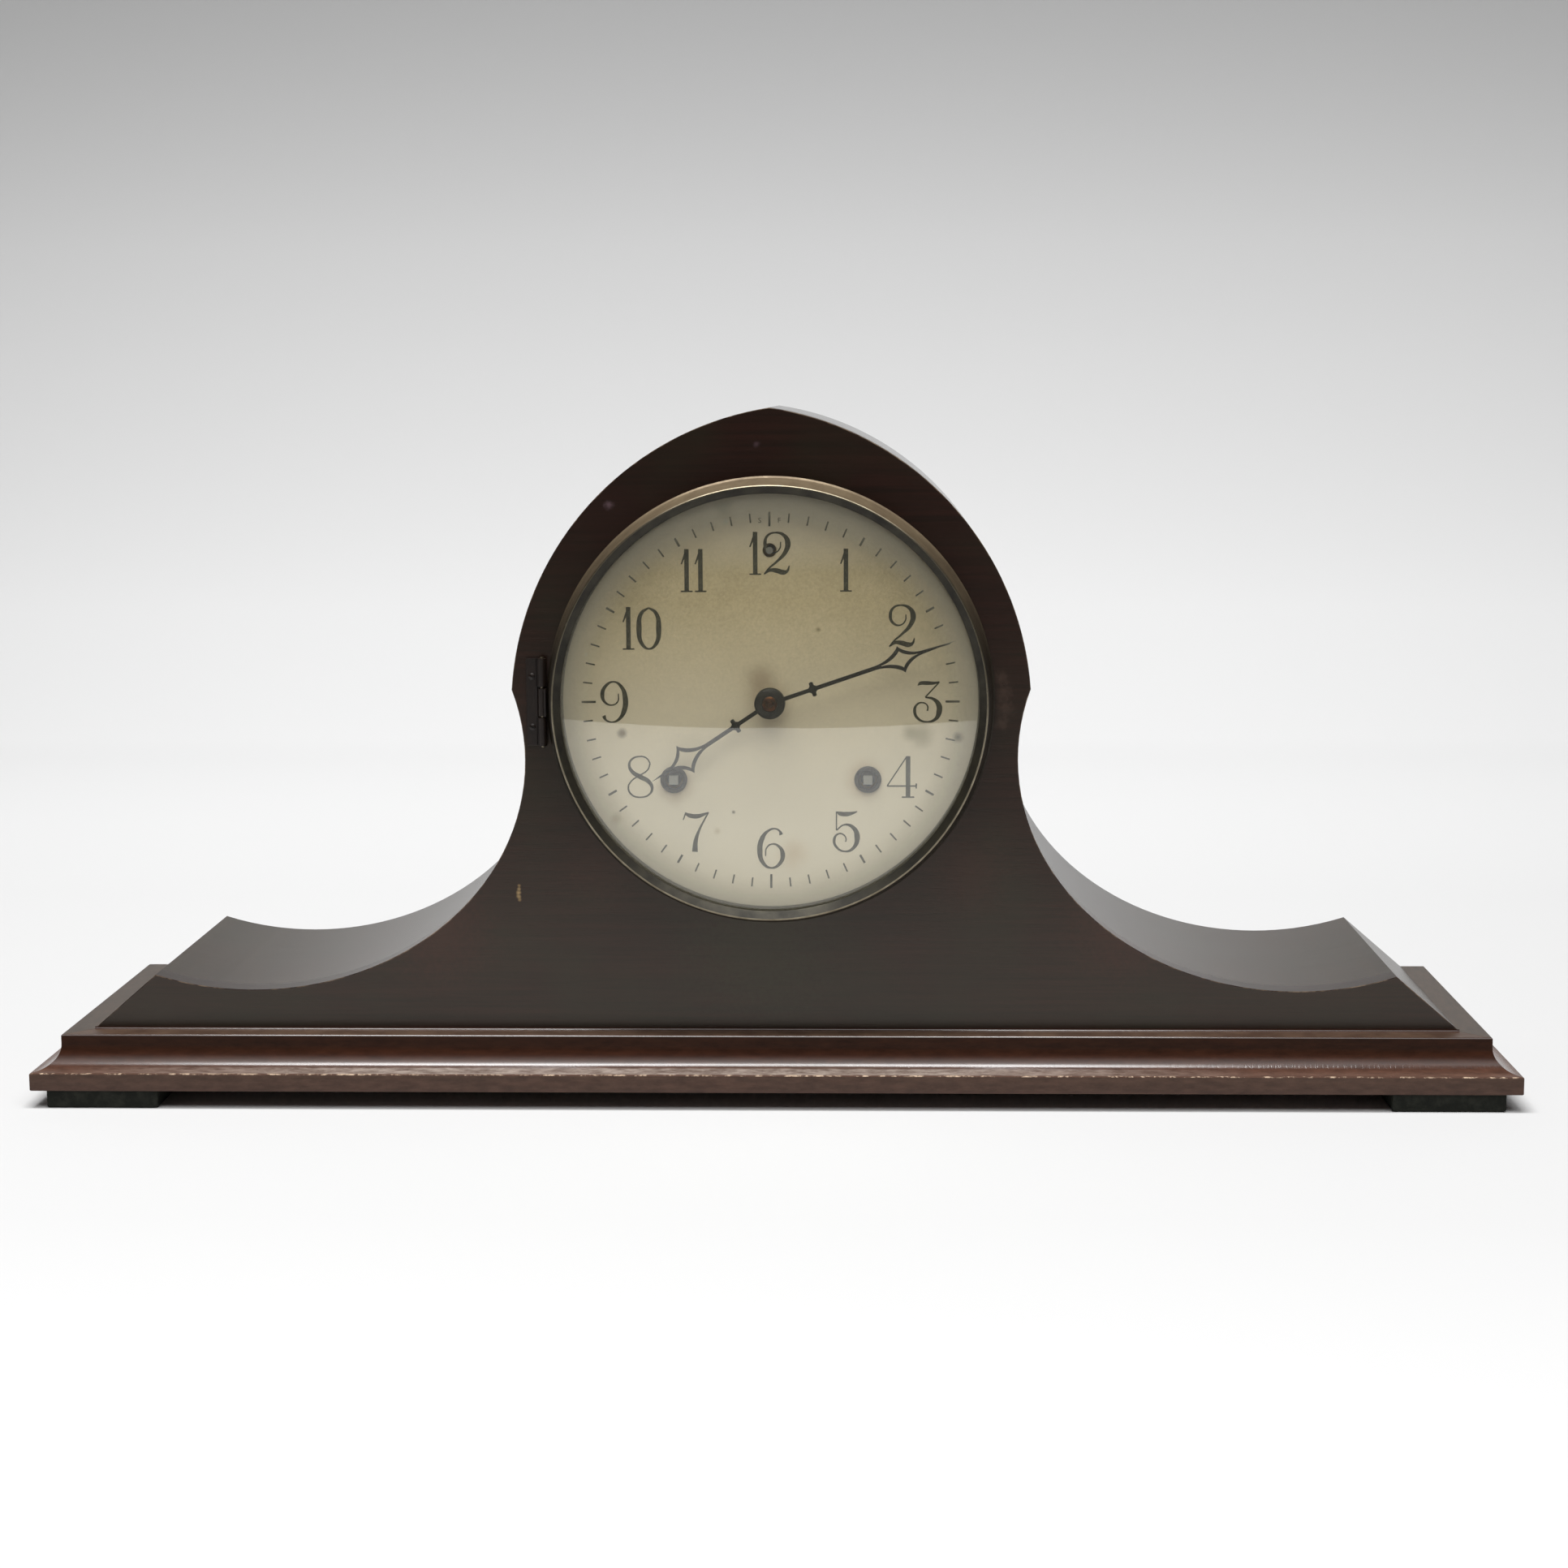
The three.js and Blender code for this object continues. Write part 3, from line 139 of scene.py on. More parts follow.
def wire(finish, kind, inputs, stops=(), **settings):
    tree = finish.node_tree
    made = tree.nodes.new("ShaderNode" + kind)
    for name, value in settings.items():
        setattr(made, name, value)
    for name, value in inputs.items():
        if isinstance(value, bpy.types.NodeSocket):
            tree.links.new(value, made.inputs[name])
        else:
            made.inputs[name].default_value = value
    for i, (place, shade) in enumerate(stops):
        ramp = made.color_ramp.elements
        stop = ramp[i] if i < 2 else ramp.new(place)
        stop.position, stop.color = place, shade
    return made


def start_finish(name, **sockets):
    finish = bpy.data.materials.new(name)
    finish.use_nodes = True
    set_sockets(finish, sockets)
    return finish


def set_sockets(finish, sockets):
    shader = finish.node_tree.nodes["Principled BSDF"]
    for name, value in sockets.items():
        socket = shader.inputs[name.replace("_", " ")]
        if isinstance(value, bpy.types.NodeSocket):
            finish.node_tree.links.new(value, socket)
        else:
            socket.default_value = value


# %% [markdown]
# ## Mahogany under old shellac
# The case is veneered with mahogany and finished with dark shellac, which has gone satin with age. The
# eye sees a nearly black red-brown, a faint ribbon grain, short open pores, and soft clouds where the
# finish has gone greenish or red. The pattern is noise stretched along the grain, so one function serves
# the front (grain along the clock), the bent skins (grain front to back, because veneer bends most easily
# across its grain), the base moulding and the bare boards inside.

# %% A function for the woods
CLOUD, PORE_WIDTH, PORE_LENGTH = 45, 0.35, 6


def wood(name, dark, light, cloud, grain, width, length, cloudy, pore_depth, **sockets):
    finish = start_finish(name, **sockets)
    place = wire(finish, "TexCoord", {}).outputs["Object"]
    across, along = 1 / (width * MM), 1 / (length * MM)
    stretch = [along if axis == grain else across for axis in "XYZ"]
    lines = wire(finish, "Mapping", {"Vector": place, "Scale": stretch})
    ribbon = wire(
        finish,
        "TexNoise",
        {"Vector": lines.outputs[0], "Scale": 1, "Detail": 5, "Roughness": 0.62, "Distortion": 0.4},
    )
    tone = wire(
        finish, "ValToRGB", {"Fac": ribbon.outputs["Fac"]}, [(0.3, colour(dark)), (0.72, colour(light))]
    )
    clouds = wire(
        finish, "TexNoise", {"Vector": place, "Scale": 1 / (CLOUD * MM), "Detail": 3, "Roughness": 0.55}
    )
    share = wire(finish, "MapRange", {0: clouds.outputs["Fac"], 1: 0.42, 2: 0.66, 3: 0, 4: cloudy})
    mottled = wire(
        finish,
        "Mix",
        {0: share.outputs[0], 6: tone.outputs["Color"], 7: colour(cloud)},
        data_type="RGBA",
    )
    thin = [1 / (PORE_LENGTH * MM) if axis == grain else 1 / (PORE_WIDTH * MM) for axis in "XYZ"]
    pores = wire(finish, "Mapping", {"Vector": place, "Scale": thin})
    pits = wire(finish, "TexNoise", {"Vector": pores.outputs[0], "Scale": 1, "Detail": 2})
    open_pores = wire(finish, "MapRange", {0: pits.outputs["Fac"], 1: 0.3, 2: 0.5})
    relief = wire(
        finish, "Bump", {"Height": open_pores.outputs[0], "Strength": 0.35, "Distance": pore_depth * MM}
    )
    set_sockets(finish, {"Base_Color": mottled.outputs[2], "Normal": relief.outputs[0]})
    return finish


# %% The front, the bent skins and the bare boards
# The front is nearly black with red and green clouds, and its foot keeps a little more polish.
mahogany = wood(
    "mahogany_satin_shellac",
    dark="#1a0e09", light="#2d1711", cloud="#232116",
    grain="X", width=1.6, length=55, cloudy=0.5, pore_depth=0.02,
    Roughness=0.3, Specular_IOR_Level=0.55, Specular_Tint=colour("#fff8ec"),
)
POLISHED_TO, DULL_FROM = (DIAL_Z - 85) * MM, (DIAL_Z - 35) * MM
place = wire(mahogany, "TexCoord", {}).outputs["Object"]
height = wire(mahogany, "SeparateXYZ", {"Vector": place})
polish = wire(mahogany, "MapRange", {0: height.outputs["Z"], 1: POLISHED_TO, 2: DULL_FROM, 3: 0.6, 4: 0.5})
set_sockets(mahogany, {"Specular_IOR_Level": polish.outputs[0]})

# The wings are browner. Their low parts are rubbed brighter, in streaks that run along the clock.
bent_mahogany = wood(
    "bent_mahogany_satin_shellac",
    dark="#261b12", light="#37281b", cloud="#2e2a1f",
    grain="Y", width=1.6, length=70, cloudy=0.5, pore_depth=0.03,
    Roughness=0.27, Specular_IOR_Level=0.25, Specular_Tint=colour("#fff8e4"),
)
RUBBED_TO, DULL_FROM, STREAK = 45 * MM, 100 * MM, (40, 1.2, 12)
place = wire(bent_mahogany, "TexCoord", {}).outputs["Object"]
height = wire(bent_mahogany, "SeparateXYZ", {"Vector": place})
rubbed = wire(
    bent_mahogany, "MapRange", {0: height.outputs["Z"], 1: RUBBED_TO, 2: DULL_FROM, 3: 0.4, 4: 0.13}
)
strokes = wire(bent_mahogany, "Mapping", {"Vector": place, "Scale": [1 / (size * MM) for size in STREAK]})
streaks = wire(
    bent_mahogany, "TexNoise", {"Vector": strokes.outputs[0], "Scale": 1, "Detail": 4, "Roughness": 0.6}
)
polish = wire(bent_mahogany, "MapRange", {0: streaks.outputs["Fac"], 1: 0.3, 2: 0.7, 3: 0.8, 4: 1.2})
patchy = wire(bent_mahogany, "Math", {0: rubbed.outputs[0], 1: polish.outputs[0]}, operation="MULTIPLY")
set_sockets(bent_mahogany, {"Specular_IOR_Level": patchy.outputs[0]})

# The arch is the same veneer, smoother, so it mirrors more sharply. The bare boards are dry and dull.
arch_mahogany = wood(
    "arch_mahogany_rubbed_shellac",
    dark="#1f1510", light="#302119", cloud="#2a281f",
    grain="Y", width=1.6, length=70, cloudy=0.5, pore_depth=0.01,
    Roughness=0.13, Specular_IOR_Level=0.42, Specular_Tint=colour("#fffbee"),
)
bare_wood = wood(
    "unpolished_gumwood",
    dark="#644a33", light="#8a6b47", cloud="#574232",
    grain="X", width=3.5, length=140, cloudy=0.5, pore_depth=0.06,
    Roughness=0.82, Specular_IOR_Level=0.3,
)
print("woods:", [finish.name for finish in (mahogany, bent_mahogany, arch_mahogany, bare_wood)])

# %% [markdown]
# Age leaves spots: chips and dents in the veneer, stains on the dial. A spot is the distance from a
# point, broken up by noise, that mixes its own colour into the ground.


# %% Spots, and the marks on the front
def spots(finish, noise, shade, depth, marks):
    place = wire(finish, "TexCoord", {}).outputs["Object"]
    for x, z, radius, strength, stain in marks:
        spot = Vector((x, depth, DIAL_Z + z)) * MM
        away = wire(finish, "VectorMath", {0: place, 1: spot}, operation="DISTANCE")
        ragged = wire(
            finish,
            "Math",
            {0: noise.outputs["Fac"], 1: radius * 0.9 * MM, 2: away.outputs["Value"]},
            operation="MULTIPLY_ADD",
        )
        share = wire(
            finish,
            "MapRange",
            {0: ragged.outputs[0], 1: radius * 0.45 * MM, 2: radius * 1.35 * MM, 3: strength, 4: 0},
            interpolation_type="SMOOTHSTEP",
        )
        mixed = wire(finish, "Mix", {0: share.outputs[0], 6: shade, 7: colour(stain)}, data_type="RGBA")
        shade = mixed.outputs[2]
    return shade


# Millimetres right of the dial's centre, above it and in radius, then the strength and the colour
MARKS = [
    (-90.1, -66, 0.9, 0.8, "#8a7048"),
    (-90.2, -67.3, 1.1, 0.9, "#9c8258"),
    (-90.3, -68.6, 1.3, 0.9, "#a88c60"),
    (-90.3, -69.9, 1.3, 0.9, "#9c8258"),
    (-90, -71.2, 1.0, 0.8, "#8a7048"),
    (81.2, 8, 4, 0.35, "#5a463c"),
    (82, 3, 5, 0.35, "#5a463c"),
    (82.4, -3, 5, 0.35, "#5a463c"),
    (81.6, -8, 4, 0.35, "#5a463c"),
    # The next two are dents; their pale purple colour is partly a painted highlight of each dent.
    (-56.2, 69.1, 2.6, 0.7, "#6b565c"),
    (-4.4, 89.8, 1.7, 0.6, "#5a464c"),
    (-120, -82, 30, 0.5, "#402018"),
    (-60, -60, 22, 0.4, "#3c2018"),
    (125, -80, 30, 0.5, "#402119"),
    (70, -62, 22, 0.4, "#3c2018"),
    (-5, -88, 40, 0.65, "#2c2b1c"),
]
SPECKLE = 1.5
place = wire(mahogany, "TexCoord", {}).outputs["Object"]
speckle = wire(mahogany, "TexNoise", {"Vector": place, "Scale": 1 / (SPECKLE * MM), "Detail": 3})
ground = mahogany.node_tree.nodes["Principled BSDF"].inputs["Base Color"].links[0].from_socket
set_sockets(mahogany, {"Base_Color": spots(mahogany, speckle, ground, CASE_FRONT, MARKS)})
print("marks on the front:", len(MARKS))

# %% [markdown]
# The base moulding is the same wood, but redder, and it has aged by height. The plinth has faded to a
# dull brown grey. The foot of the hollow is painted pale in its middle length, a painted reflection of
# the light overhead; the hollow itself is still glossy, and the face above it is dark and dull. So colour,
# gloss and shine each follow a ramp from the bottom of the moulding to its top. Towards the right the
# thick shellac has crazed into fine cracks that stand upright, about two millimetres apart.

# %% How the moulding ages, with a painted sheen, from its bottom (0) to its top (1)
moulding_low, moulding_high = size_of("base_moulding_front")
# The lighter tones at 0.36 and 0.4, in the foot of the hollow, are partly a painted reflection.
MOULDING_TONES = [
    (0.0, "#57433a"), (1.0, "#4a4034"), (0.33, "#5a463b"), (0.36, "#715548"), (0.4, "#634538"),
    (0.47, "#4c2e20"), (0.6, "#3f2418"), (0.8, "#301d13"), (0.97, "#301d13"),
]
MOULDING_GLOSS = [
    (0.0, 0.5), (1.0, 0.4), (0.33, 0.45), (0.36, 0.24), (0.42, 0.16), (0.46, 0.2), (0.55, 0.3), (0.9, 0.5),
    (0.97, 0.5),
]
MOULDING_SHINE = [
    (0.0, 0.25), (1.0, 0.75), (0.33, 0.25), (0.38, 0.85), (0.45, 0.85), (0.49, 0.42), (0.56, 0.25),
    (0.72, 0.12), (0.97, 0.12),
]
# Painted reflection: the foot of the hollow, from 0.33 to 0.43 of the height, is mixed pale in its middle
# length.
PAINTED_SHEEN_FOOT = [(0.0, 0.0), (1.0, 0.0), (0.325, 0.0), (0.335, 1.0), (0.405, 1.0), (0.43, 0.0)]
SHEEN_MIDDLE, SHEEN_ALL, SHEEN_END = -40 * MM, 100 * MM, 210 * MM
CRAZED_FROM, CRAZED_TO, CRACK_DEPTH = 70 * MM, 150 * MM, 0.03 * MM


def grey(value):
    return [value, value, value, 1.0]


# %% Colour and cracks of the moulding
def moulding_colour(finish, place, along, by_height, stroke):
    ground = finish.node_tree.nodes["Principled BSDF"].inputs["Base Color"].links[0].from_socket
    tone = wire(finish, "ValToRGB", by_height, [(at, colour(code)) for at, code in MOULDING_TONES])
    aged = wire(finish, "Mix", {0: 0.75, 6: ground, 7: tone.outputs["Color"]}, data_type="RGBA")
    strokes = wire(finish, "Mapping", {"Vector": place, "Scale": [1 / (size * MM) for size in stroke]})
    grime = wire(
        finish, "TexNoise", {"Vector": strokes.outputs[0], "Scale": 1, "Detail": 6, "Roughness": 0.7}
    )
    foot = wire(finish, "ValToRGB", by_height, [(at, grey(value)) for at, value in PAINTED_SHEEN_FOOT])
    off_centre = wire(finish, "Math", {0: along, 1: -SHEEN_MIDDLE}, operation="ADD")
    off_centre = wire(finish, "Math", {0: off_centre.outputs[0]}, operation="ABSOLUTE")
    sheen_along = wire(
        finish, "MapRange", {0: off_centre.outputs[0], 1: SHEEN_ALL, 2: SHEEN_END, 3: 1, 4: 0}
    )
    patchy = wire(finish, "MapRange", {0: grime.outputs["Fac"], 1: 0.35, 2: 0.6, 3: 0.35, 4: 1})
    share = wire(finish, "Math", {0: sheen_along.outputs[0], 1: patchy.outputs[0]}, operation="MULTIPLY")
    share = wire(finish, "Math", {0: share.outputs[0], 1: foot.outputs["Color"]}, operation="MULTIPLY")
    # Painted reflection: this pale colour stands in for the sheen of the light overhead on the foot of the
    # hollow.
    pale = wire(
        finish, "Mix", {0: share.outputs[0], 6: aged.outputs[2], 7: colour("#9c8e84")}, data_type="RGBA"
    )
    dirt = wire(
        finish, "ValToRGB", {"Fac": grime.outputs["Fac"]}, [(0.32, grey(0.72)), (0.68, grey(1.28))]
    )
    shade = wire(
        finish,
        "Mix",
        {0: 1.0, 6: pale.outputs[2], 7: dirt.outputs["Color"]},
        data_type="RGBA",
        blend_type="MULTIPLY",
    )
    return shade.outputs[2]


def crazing(finish, place, along, crack):
    relief = finish.node_tree.nodes["Principled BSDF"].inputs["Normal"].links[0].from_socket
    lines = wire(finish, "Mapping", {"Vector": place, "Scale": [1 / (size * MM) for size in crack]})
    cells = wire(finish, "TexVoronoi", {"Vector": lines.outputs[0], "Scale": 1}, feature="DISTANCE_TO_EDGE")
    cracks = wire(finish, "MapRange", {0: cells.outputs["Distance"], 1: 0.0, 2: 0.06})
    age = wire(finish, "MapRange", {0: along, 1: CRAZED_FROM, 2: CRAZED_TO, 3: 0.03, 4: 0.3})
    crazed = wire(
        finish,
        "Bump",
        {"Height": cracks.outputs[0], "Strength": age.outputs[0], "Distance": CRACK_DEPTH, "Normal": relief},
    )
    return crazed.outputs[0]


# %% Moulding of the front and of the sides
def moulding(name, grain, crack, stroke):
    finish = wood(
        name,
        dark="#2a140b", light="#4a2616", cloud="#2d180d",
        grain=grain, width=1.8, length=40, cloudy=0.4, pore_depth=0.004,
        Roughness=0.4, Specular_IOR_Level=0.35,
    )
    place = wire(finish, "TexCoord", {}).outputs["Object"]
    apart = wire(finish, "SeparateXYZ", {"Vector": place}).outputs
    height = wire(finish, "MapRange", {0: apart["Z"], 1: moulding_low.z * MM, 2: moulding_high.z * MM})
    by_height = {"Fac": height.outputs[0]}
    gloss = wire(finish, "ValToRGB", by_height, [(at, grey(value)) for at, value in MOULDING_GLOSS])
    shine = wire(finish, "ValToRGB", by_height, [(at, grey(value)) for at, value in MOULDING_SHINE])
    set_sockets(
        finish,
        {
            "Base_Color": moulding_colour(finish, place, apart["X"], by_height, stroke),
            "Roughness": gloss.outputs["Color"],
            "Specular_IOR_Level": shine.outputs["Color"],
            "Normal": crazing(finish, place, apart["X"], crack),
        },
    )
    return finish


CRACK, CRACK_LENGTH, GRIME, GRIME_LENGTH = 2, 9, 2, 7
moulding_wood = moulding(
    "mahogany_gloss_shellac",
    "X",
    crack=(CRACK, CRACK_LENGTH, CRACK_LENGTH),
    stroke=(GRIME_LENGTH, GRIME, GRIME),
)
side_moulding_wood = moulding(
    "side_mahogany_gloss_shellac",
    "Y",
    crack=(CRACK_LENGTH, CRACK, CRACK_LENGTH),
    stroke=(GRIME, GRIME_LENGTH, GRIME),
)
print("moulding finishes:", moulding_wood.name, side_moulding_wood.name)

# %% [markdown]
# Sharp edges have worn through to pale orange wood. A worn edge gets a finish of its own, which noise
# breaks into dashes.


# %% Worn edges
def worn(name, base, bare, dash, least, most, rough=0.42, shine=0.5):
    finish = start_finish(name, Roughness=rough, Specular_IOR_Level=shine)
    place = wire(finish, "TexCoord", {}).outputs["Object"]
    noise = wire(
        finish, "TexNoise", {"Vector": place, "Scale": 1 / (dash * MM), "Detail": 4, "Roughness": 0.7}
    )
    share = wire(finish, "MapRange", {0: noise.outputs["Fac"], 1: least, 2: most})
    shade = wire(
        finish, "Mix", {0: share.outputs[0], 6: colour(base), 7: colour(bare)}, data_type="RGBA"
    )
    set_sockets(finish, {"Base_Color": shade.outputs[2]})
    return finish


# Pale short dashes along the plinth, a dull dusty ledge, a wet-looking run, and a fine bright line
worn_moulding = worn("mahogany_worn_through", "#5c3f32", "#d8bda2", dash=2.5, least=0.5, most=0.62)
dull_ledge = worn("mahogany_dull_ledge", "#4a362a", "#665040", dash=12, least=0.4, most=0.75)
shellac_run = start_finish(
    "shellac_run", Base_Color=colour("#3a2218"), Roughness=0.17, Specular_IOR_Level=0.65
)
worn_veneer = worn(
    "veneer_edge_rubbed", "#2a1914", "#8c7864", dash=7, least=0.42, most=0.7, rough=0.2, shine=0.8
)
print("edges:", worn_moulding.name, worn_veneer.name)

# %% [markdown]
# ## Modelling tools
# Most pieces of the clock are either flat boards with a curved outline or round turned parts. A board
# starts as one vertex that is pulled from point to point along its outline, filled, and pulled to its
# thickness. A sculpted outline could also be traced by hand, but points that are worked out stay true to
# the measured clock.


# %% Draw an outline and pull it to a thickness
def begin():
    if bpy.context.object and bpy.context.object.mode == "EDIT":
        bpy.ops.object.mode_set(mode="OBJECT")
    bpy.ops.object.select_all(action="DESELECT")


def draw(points, loop=True):
    begin()
    bpy.ops.mesh.primitive_plane_add(size=MM)
    bpy.ops.object.mode_set(mode="EDIT")
    bpy.ops.mesh.select_mode(type="VERT")
    bpy.ops.mesh.merge(type="CENTER")
    bpy.ops.transform.translate(value=Vector(points[0]) * MM)
    for near, far in zip(points, points[1:]):
        step = (Vector(far) - Vector(near)) * MM
        bpy.ops.mesh.extrude_vertices_move(TRANSFORM_OT_translate={"value": step})
    if loop:
        step = (Vector(points[0]) - Vector(points[-1])) * MM
        bpy.ops.mesh.extrude_vertices_move(TRANSFORM_OT_translate={"value": step})
    bpy.ops.mesh.select_all(action="SELECT")
    bpy.ops.mesh.remove_doubles(threshold=0.001 * MM)


def fix_normals():
    bpy.ops.mesh.select_all(action="SELECT")
    bpy.ops.mesh.normals_make_consistent(inside=False)


def thicken(x=0, y=0, z=0):
    bpy.ops.mesh.extrude_region_move(TRANSFORM_OT_translate={"value": Vector((x, y, z)) * MM})
    fix_normals()


def board(outline, front, back):
    draw([(x, front, z) for x, z in outline])
    bpy.ops.mesh.edge_face_add()
    thicken(y=back - front)


# %% [markdown]
# Edges and faces are picked in code by their place, as they would be picked by hand with the mouse.
# Picked edges are eased with a bevel, and picked faces can take a finish of their own.


# %% Pick edges and faces
def choose(kind, rule):
    bpy.ops.mesh.select_all(action="DESELECT")
    bpy.ops.mesh.select_mode(type=kind)
    mesh = bpy.context.object.data
    shape = bmesh.from_edit_mesh(mesh)
    for part in shape.edges if kind == "EDGE" else shape.faces:
        part.select_set(bool(rule(part)))
    shape.select_flush_mode()
    bmesh.update_edit_mesh(mesh)


def lies_at(part, axis, value):
    return all(abs(getattr(corner.co, axis) / MM - value) < 0.01 for corner in part.verts)


def middle(part):
    return sum((corner.co for corner in part.verts), Vector()) / len(part.verts) / MM


def is_sharp(edge):
    return edge.calc_face_angle(0) > math.radians(35)


def ease(width, steps=2):
    bpy.ops.mesh.bevel(offset=width * MM, offset_type="OFFSET", segments=steps, affect="EDGES")


def paint(finish, rule):
    choose("FACE", rule)
    piece = bpy.context.object
    if finish.name not in piece.data.materials:
        piece.data.materials.append(finish)
    piece.active_material_index = piece.data.materials.find(finish.name)
    bpy.ops.object.material_slot_assign()


# %% [markdown]
# A finished piece is shaded smooth with its sharp edges kept. Then it gets its name, its finish, the body
# of the clock that it rides on, and the measured pieces that it replaces.


# %% Settle a finished piece
def only(piece):
    begin()
    piece.select_set(True)
    bpy.context.view_layer.objects.active = piece
    return piece


def apply_place():
    bpy.ops.object.transform_apply(location=True, rotation=True, scale=True)


def settle(name, finish, body, slot, *replaced, angle=35):
    piece = only(bpy.context.object)
    bpy.ops.object.shade_smooth_by_angle(angle=math.radians(angle))
    even = piece.modifiers.new("even_normals", "WEIGHTED_NORMAL")
    even.keep_sharp = True
    bpy.ops.object.modifier_apply(modifier=even.name)
    piece.name = piece.data.name = name
    if not piece.data.materials:
        piece.data.materials.append(finish)
    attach(piece, body)
    if replaced:
        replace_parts(piece, *replaced)
    print(f"{name}: {len(piece.data.polygons)} faces, rides on {body}")
    return piece


# %% [markdown]
# ## The case outline
# The front board carries the outline that makes the clock a tambour: a sloped end, the scoop of the wing,
# a sharp shoulder, and the arch up to its point. One half is worked out from the circles and the ellipse
# and the other half is its mirror image. An inset gives the same outline for boards that sit inside the
# skins.


# %% Outline points
def ellipse(x, z, reach, rise, start, stop, steps):
    angles = [start + (stop - start) * i / steps for i in range(steps + 1)]
    return [(x + reach * math.cos(a), z + rise * math.sin(a)) for a in angles]


def shoulder(inset):
    low, high = SCOOP_Z, SCOOP_Z + SCOOP_RISE / 2
    for _ in range(50):
        z = (low + high) / 2
        arch = math.sqrt((ARCH_RADIUS - inset) ** 2 - (z - ARCH_Z) ** 2) - ARCH_OFFSET
        scoop = SCOOP_X - (SCOOP_REACH + inset) * math.sqrt(1 - ((z - SCOOP_Z) / (SCOOP_RISE + inset)) ** 2)
        low, high = (z, high) if arch > scoop else (low, z)
    return low


def arch_line(inset, bottom, side=0.0, steps=36):
    radius = ARCH_RADIUS - inset
    start = math.asin((bottom - ARCH_Z) / radius)
    stop = math.acos((ARCH_OFFSET + side) / radius)
    return ellipse(-ARCH_OFFSET, ARCH_Z, radius, radius, start, stop, steps)


def scoop_line(inset, end_at, top, steps=44):
    reach, rise = SCOOP_REACH + inset, SCOOP_RISE + inset
    start = -math.acos((end_at - SCOOP_X) / reach)
    stop = -math.pi - math.asin((top - SCOOP_Z) / rise)
    return ellipse(SCOOP_X, SCOOP_Z, reach, rise, start, stop, steps)


def case_outline(inset, foot_x, end_at):
    top = shoulder(inset)
    half = [(foot_x, CASE_FLOOR)] + scoop_line(inset, end_at, top) + arch_line(inset, top)[1:]
    return half + [(-x, z) for x, z in reversed(half[:-1])]


print(f"shoulder {shoulder(0):.1f} mm up, point {arch_line(0, shoulder(0))[-1][1]:.1f} mm up")

# %% [markdown]
# ## Front board
# The board is one flat face on its outline, pulled back to its thickness. Its front edge is eased by
# about a quarter of a millimetre, because a real arris is never quite sharp, and that narrow slope
# catches the light as a fine line. The faces of the slope take the rubbed finish. The dial opening is
# bored last.


# %% Cut with a shape, and bore a round hole
def cut_with(cutter, piece):
    only(piece)
    cut = piece.modifiers.new("cut", "BOOLEAN")
    cut.operation, cut.object, cut.solver = "DIFFERENCE", cutter, "EXACT"
    bpy.ops.object.modifier_apply(modifier=cut.name)
    bpy.data.objects.remove(cutter)


def bore(piece, x, z, radius, front, back, sides=64):
    begin()
    bpy.ops.mesh.primitive_cylinder_add(
        vertices=sides,
        radius=radius * MM,
        depth=(back - front) * MM,
        location=Vector((x, (front + back) / 2, z)) * MM,
        rotation=(math.pi / 2, 0, 0),
    )
    cut_with(bpy.context.object, piece)


# %% Front board
board(case_outline(0, CASE_HALF, TIP_X), CASE_FRONT, BOARD_BACK)
bpy.context.object.data.materials.append(mahogany)
choose("EDGE", lambda edge: lies_at(edge, "y", CASE_FRONT) and is_sharp(edge))
ease(0.28)
paint(worn_veneer, lambda face: 0.05 < -face.normal.y < 0.98)
DIAL_OPENING = 60
bore(bpy.context.object, 0, DIAL_Z, DIAL_OPENING, CASE_FRONT - 5, BOARD_BACK + 5)
settle("front_board", mahogany, "case", "mahogany", "front_panel")

# %% [markdown]
# ## Skins and end blocks
# Behind the front board, the sides are thin bent boards. Two cover the arch and meet at the point, and
# two sweep over the wings and butt against solid end blocks. They start where the front board ends, so
# that the top runs through without a step. The left pieces are mirror copies of the right ones.


# %% Copy a piece
def copy_of(piece, move=(0, 0, 0), mirrored=False):
    only(piece)
    bpy.ops.object.duplicate()
    made = bpy.context.object
    for key in [key for key in made.keys() if key.startswith("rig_")]:
        del made[key]
    made.parent = None
    made.matrix_world = Matrix.Identity(4)
    bpy.ops.object.mode_set(mode="EDIT")
    bpy.ops.mesh.select_all(action="SELECT")
    bpy.ops.transform.translate(value=Vector(move) * MM)
    if mirrored:
        bpy.ops.transform.resize(value=(-1, 1, 1), center_override=(0, 0, 0))
        bpy.ops.mesh.flip_normals()
    return made


# %% Arch and wing skins, end blocks
SKIN, JOINT, RIDGE = 4.0, 0.2, 0.02


def skin(name, finish, outer, inner):
    board(outer + inner[::-1], BOARD_BACK, CASE_BACK)
    choose("EDGE", lambda edge: lies_at(edge, "y", CASE_BACK) and is_sharp(edge))
    ease(0.4)
    piece = settle(name + "_right", finish, "case", "mahogany", name + "_right")
    copy_of(piece, mirrored=True)
    settle(name + "_left", finish, "case", "mahogany", name + "_left")


top = shoulder(0)
skin("arch_skin", arch_mahogany, arch_line(0, top + JOINT, RIDGE), arch_line(SKIN, top + JOINT, RIDGE))
skin("wing_skin", bent_mahogany, scoop_line(0, END_X, top - JOINT), scoop_line(SKIN, END_X, top - JOINT))
block_top = scoop_line(0, TIP_X, top)
block_top = [point for point in block_top if point[0] > END_X + 0.01] + [scoop_line(0, END_X, top)[0]]
skin("end_block", bent_mahogany, [(END_X, CASE_FLOOR), (CASE_HALF, CASE_FLOOR)], block_top[::-1])

# %% [markdown]
# ## Base moulding and feet
# The base is edged with a moulding: a plinth with a hollow above it that sweeps up to a narrow ledge. Its
# section is drawn once in the plane of the mitre at the corner. The front length is pulled across to the
# other mitre by mirroring, and the side length is flattened onto the plane of the back.

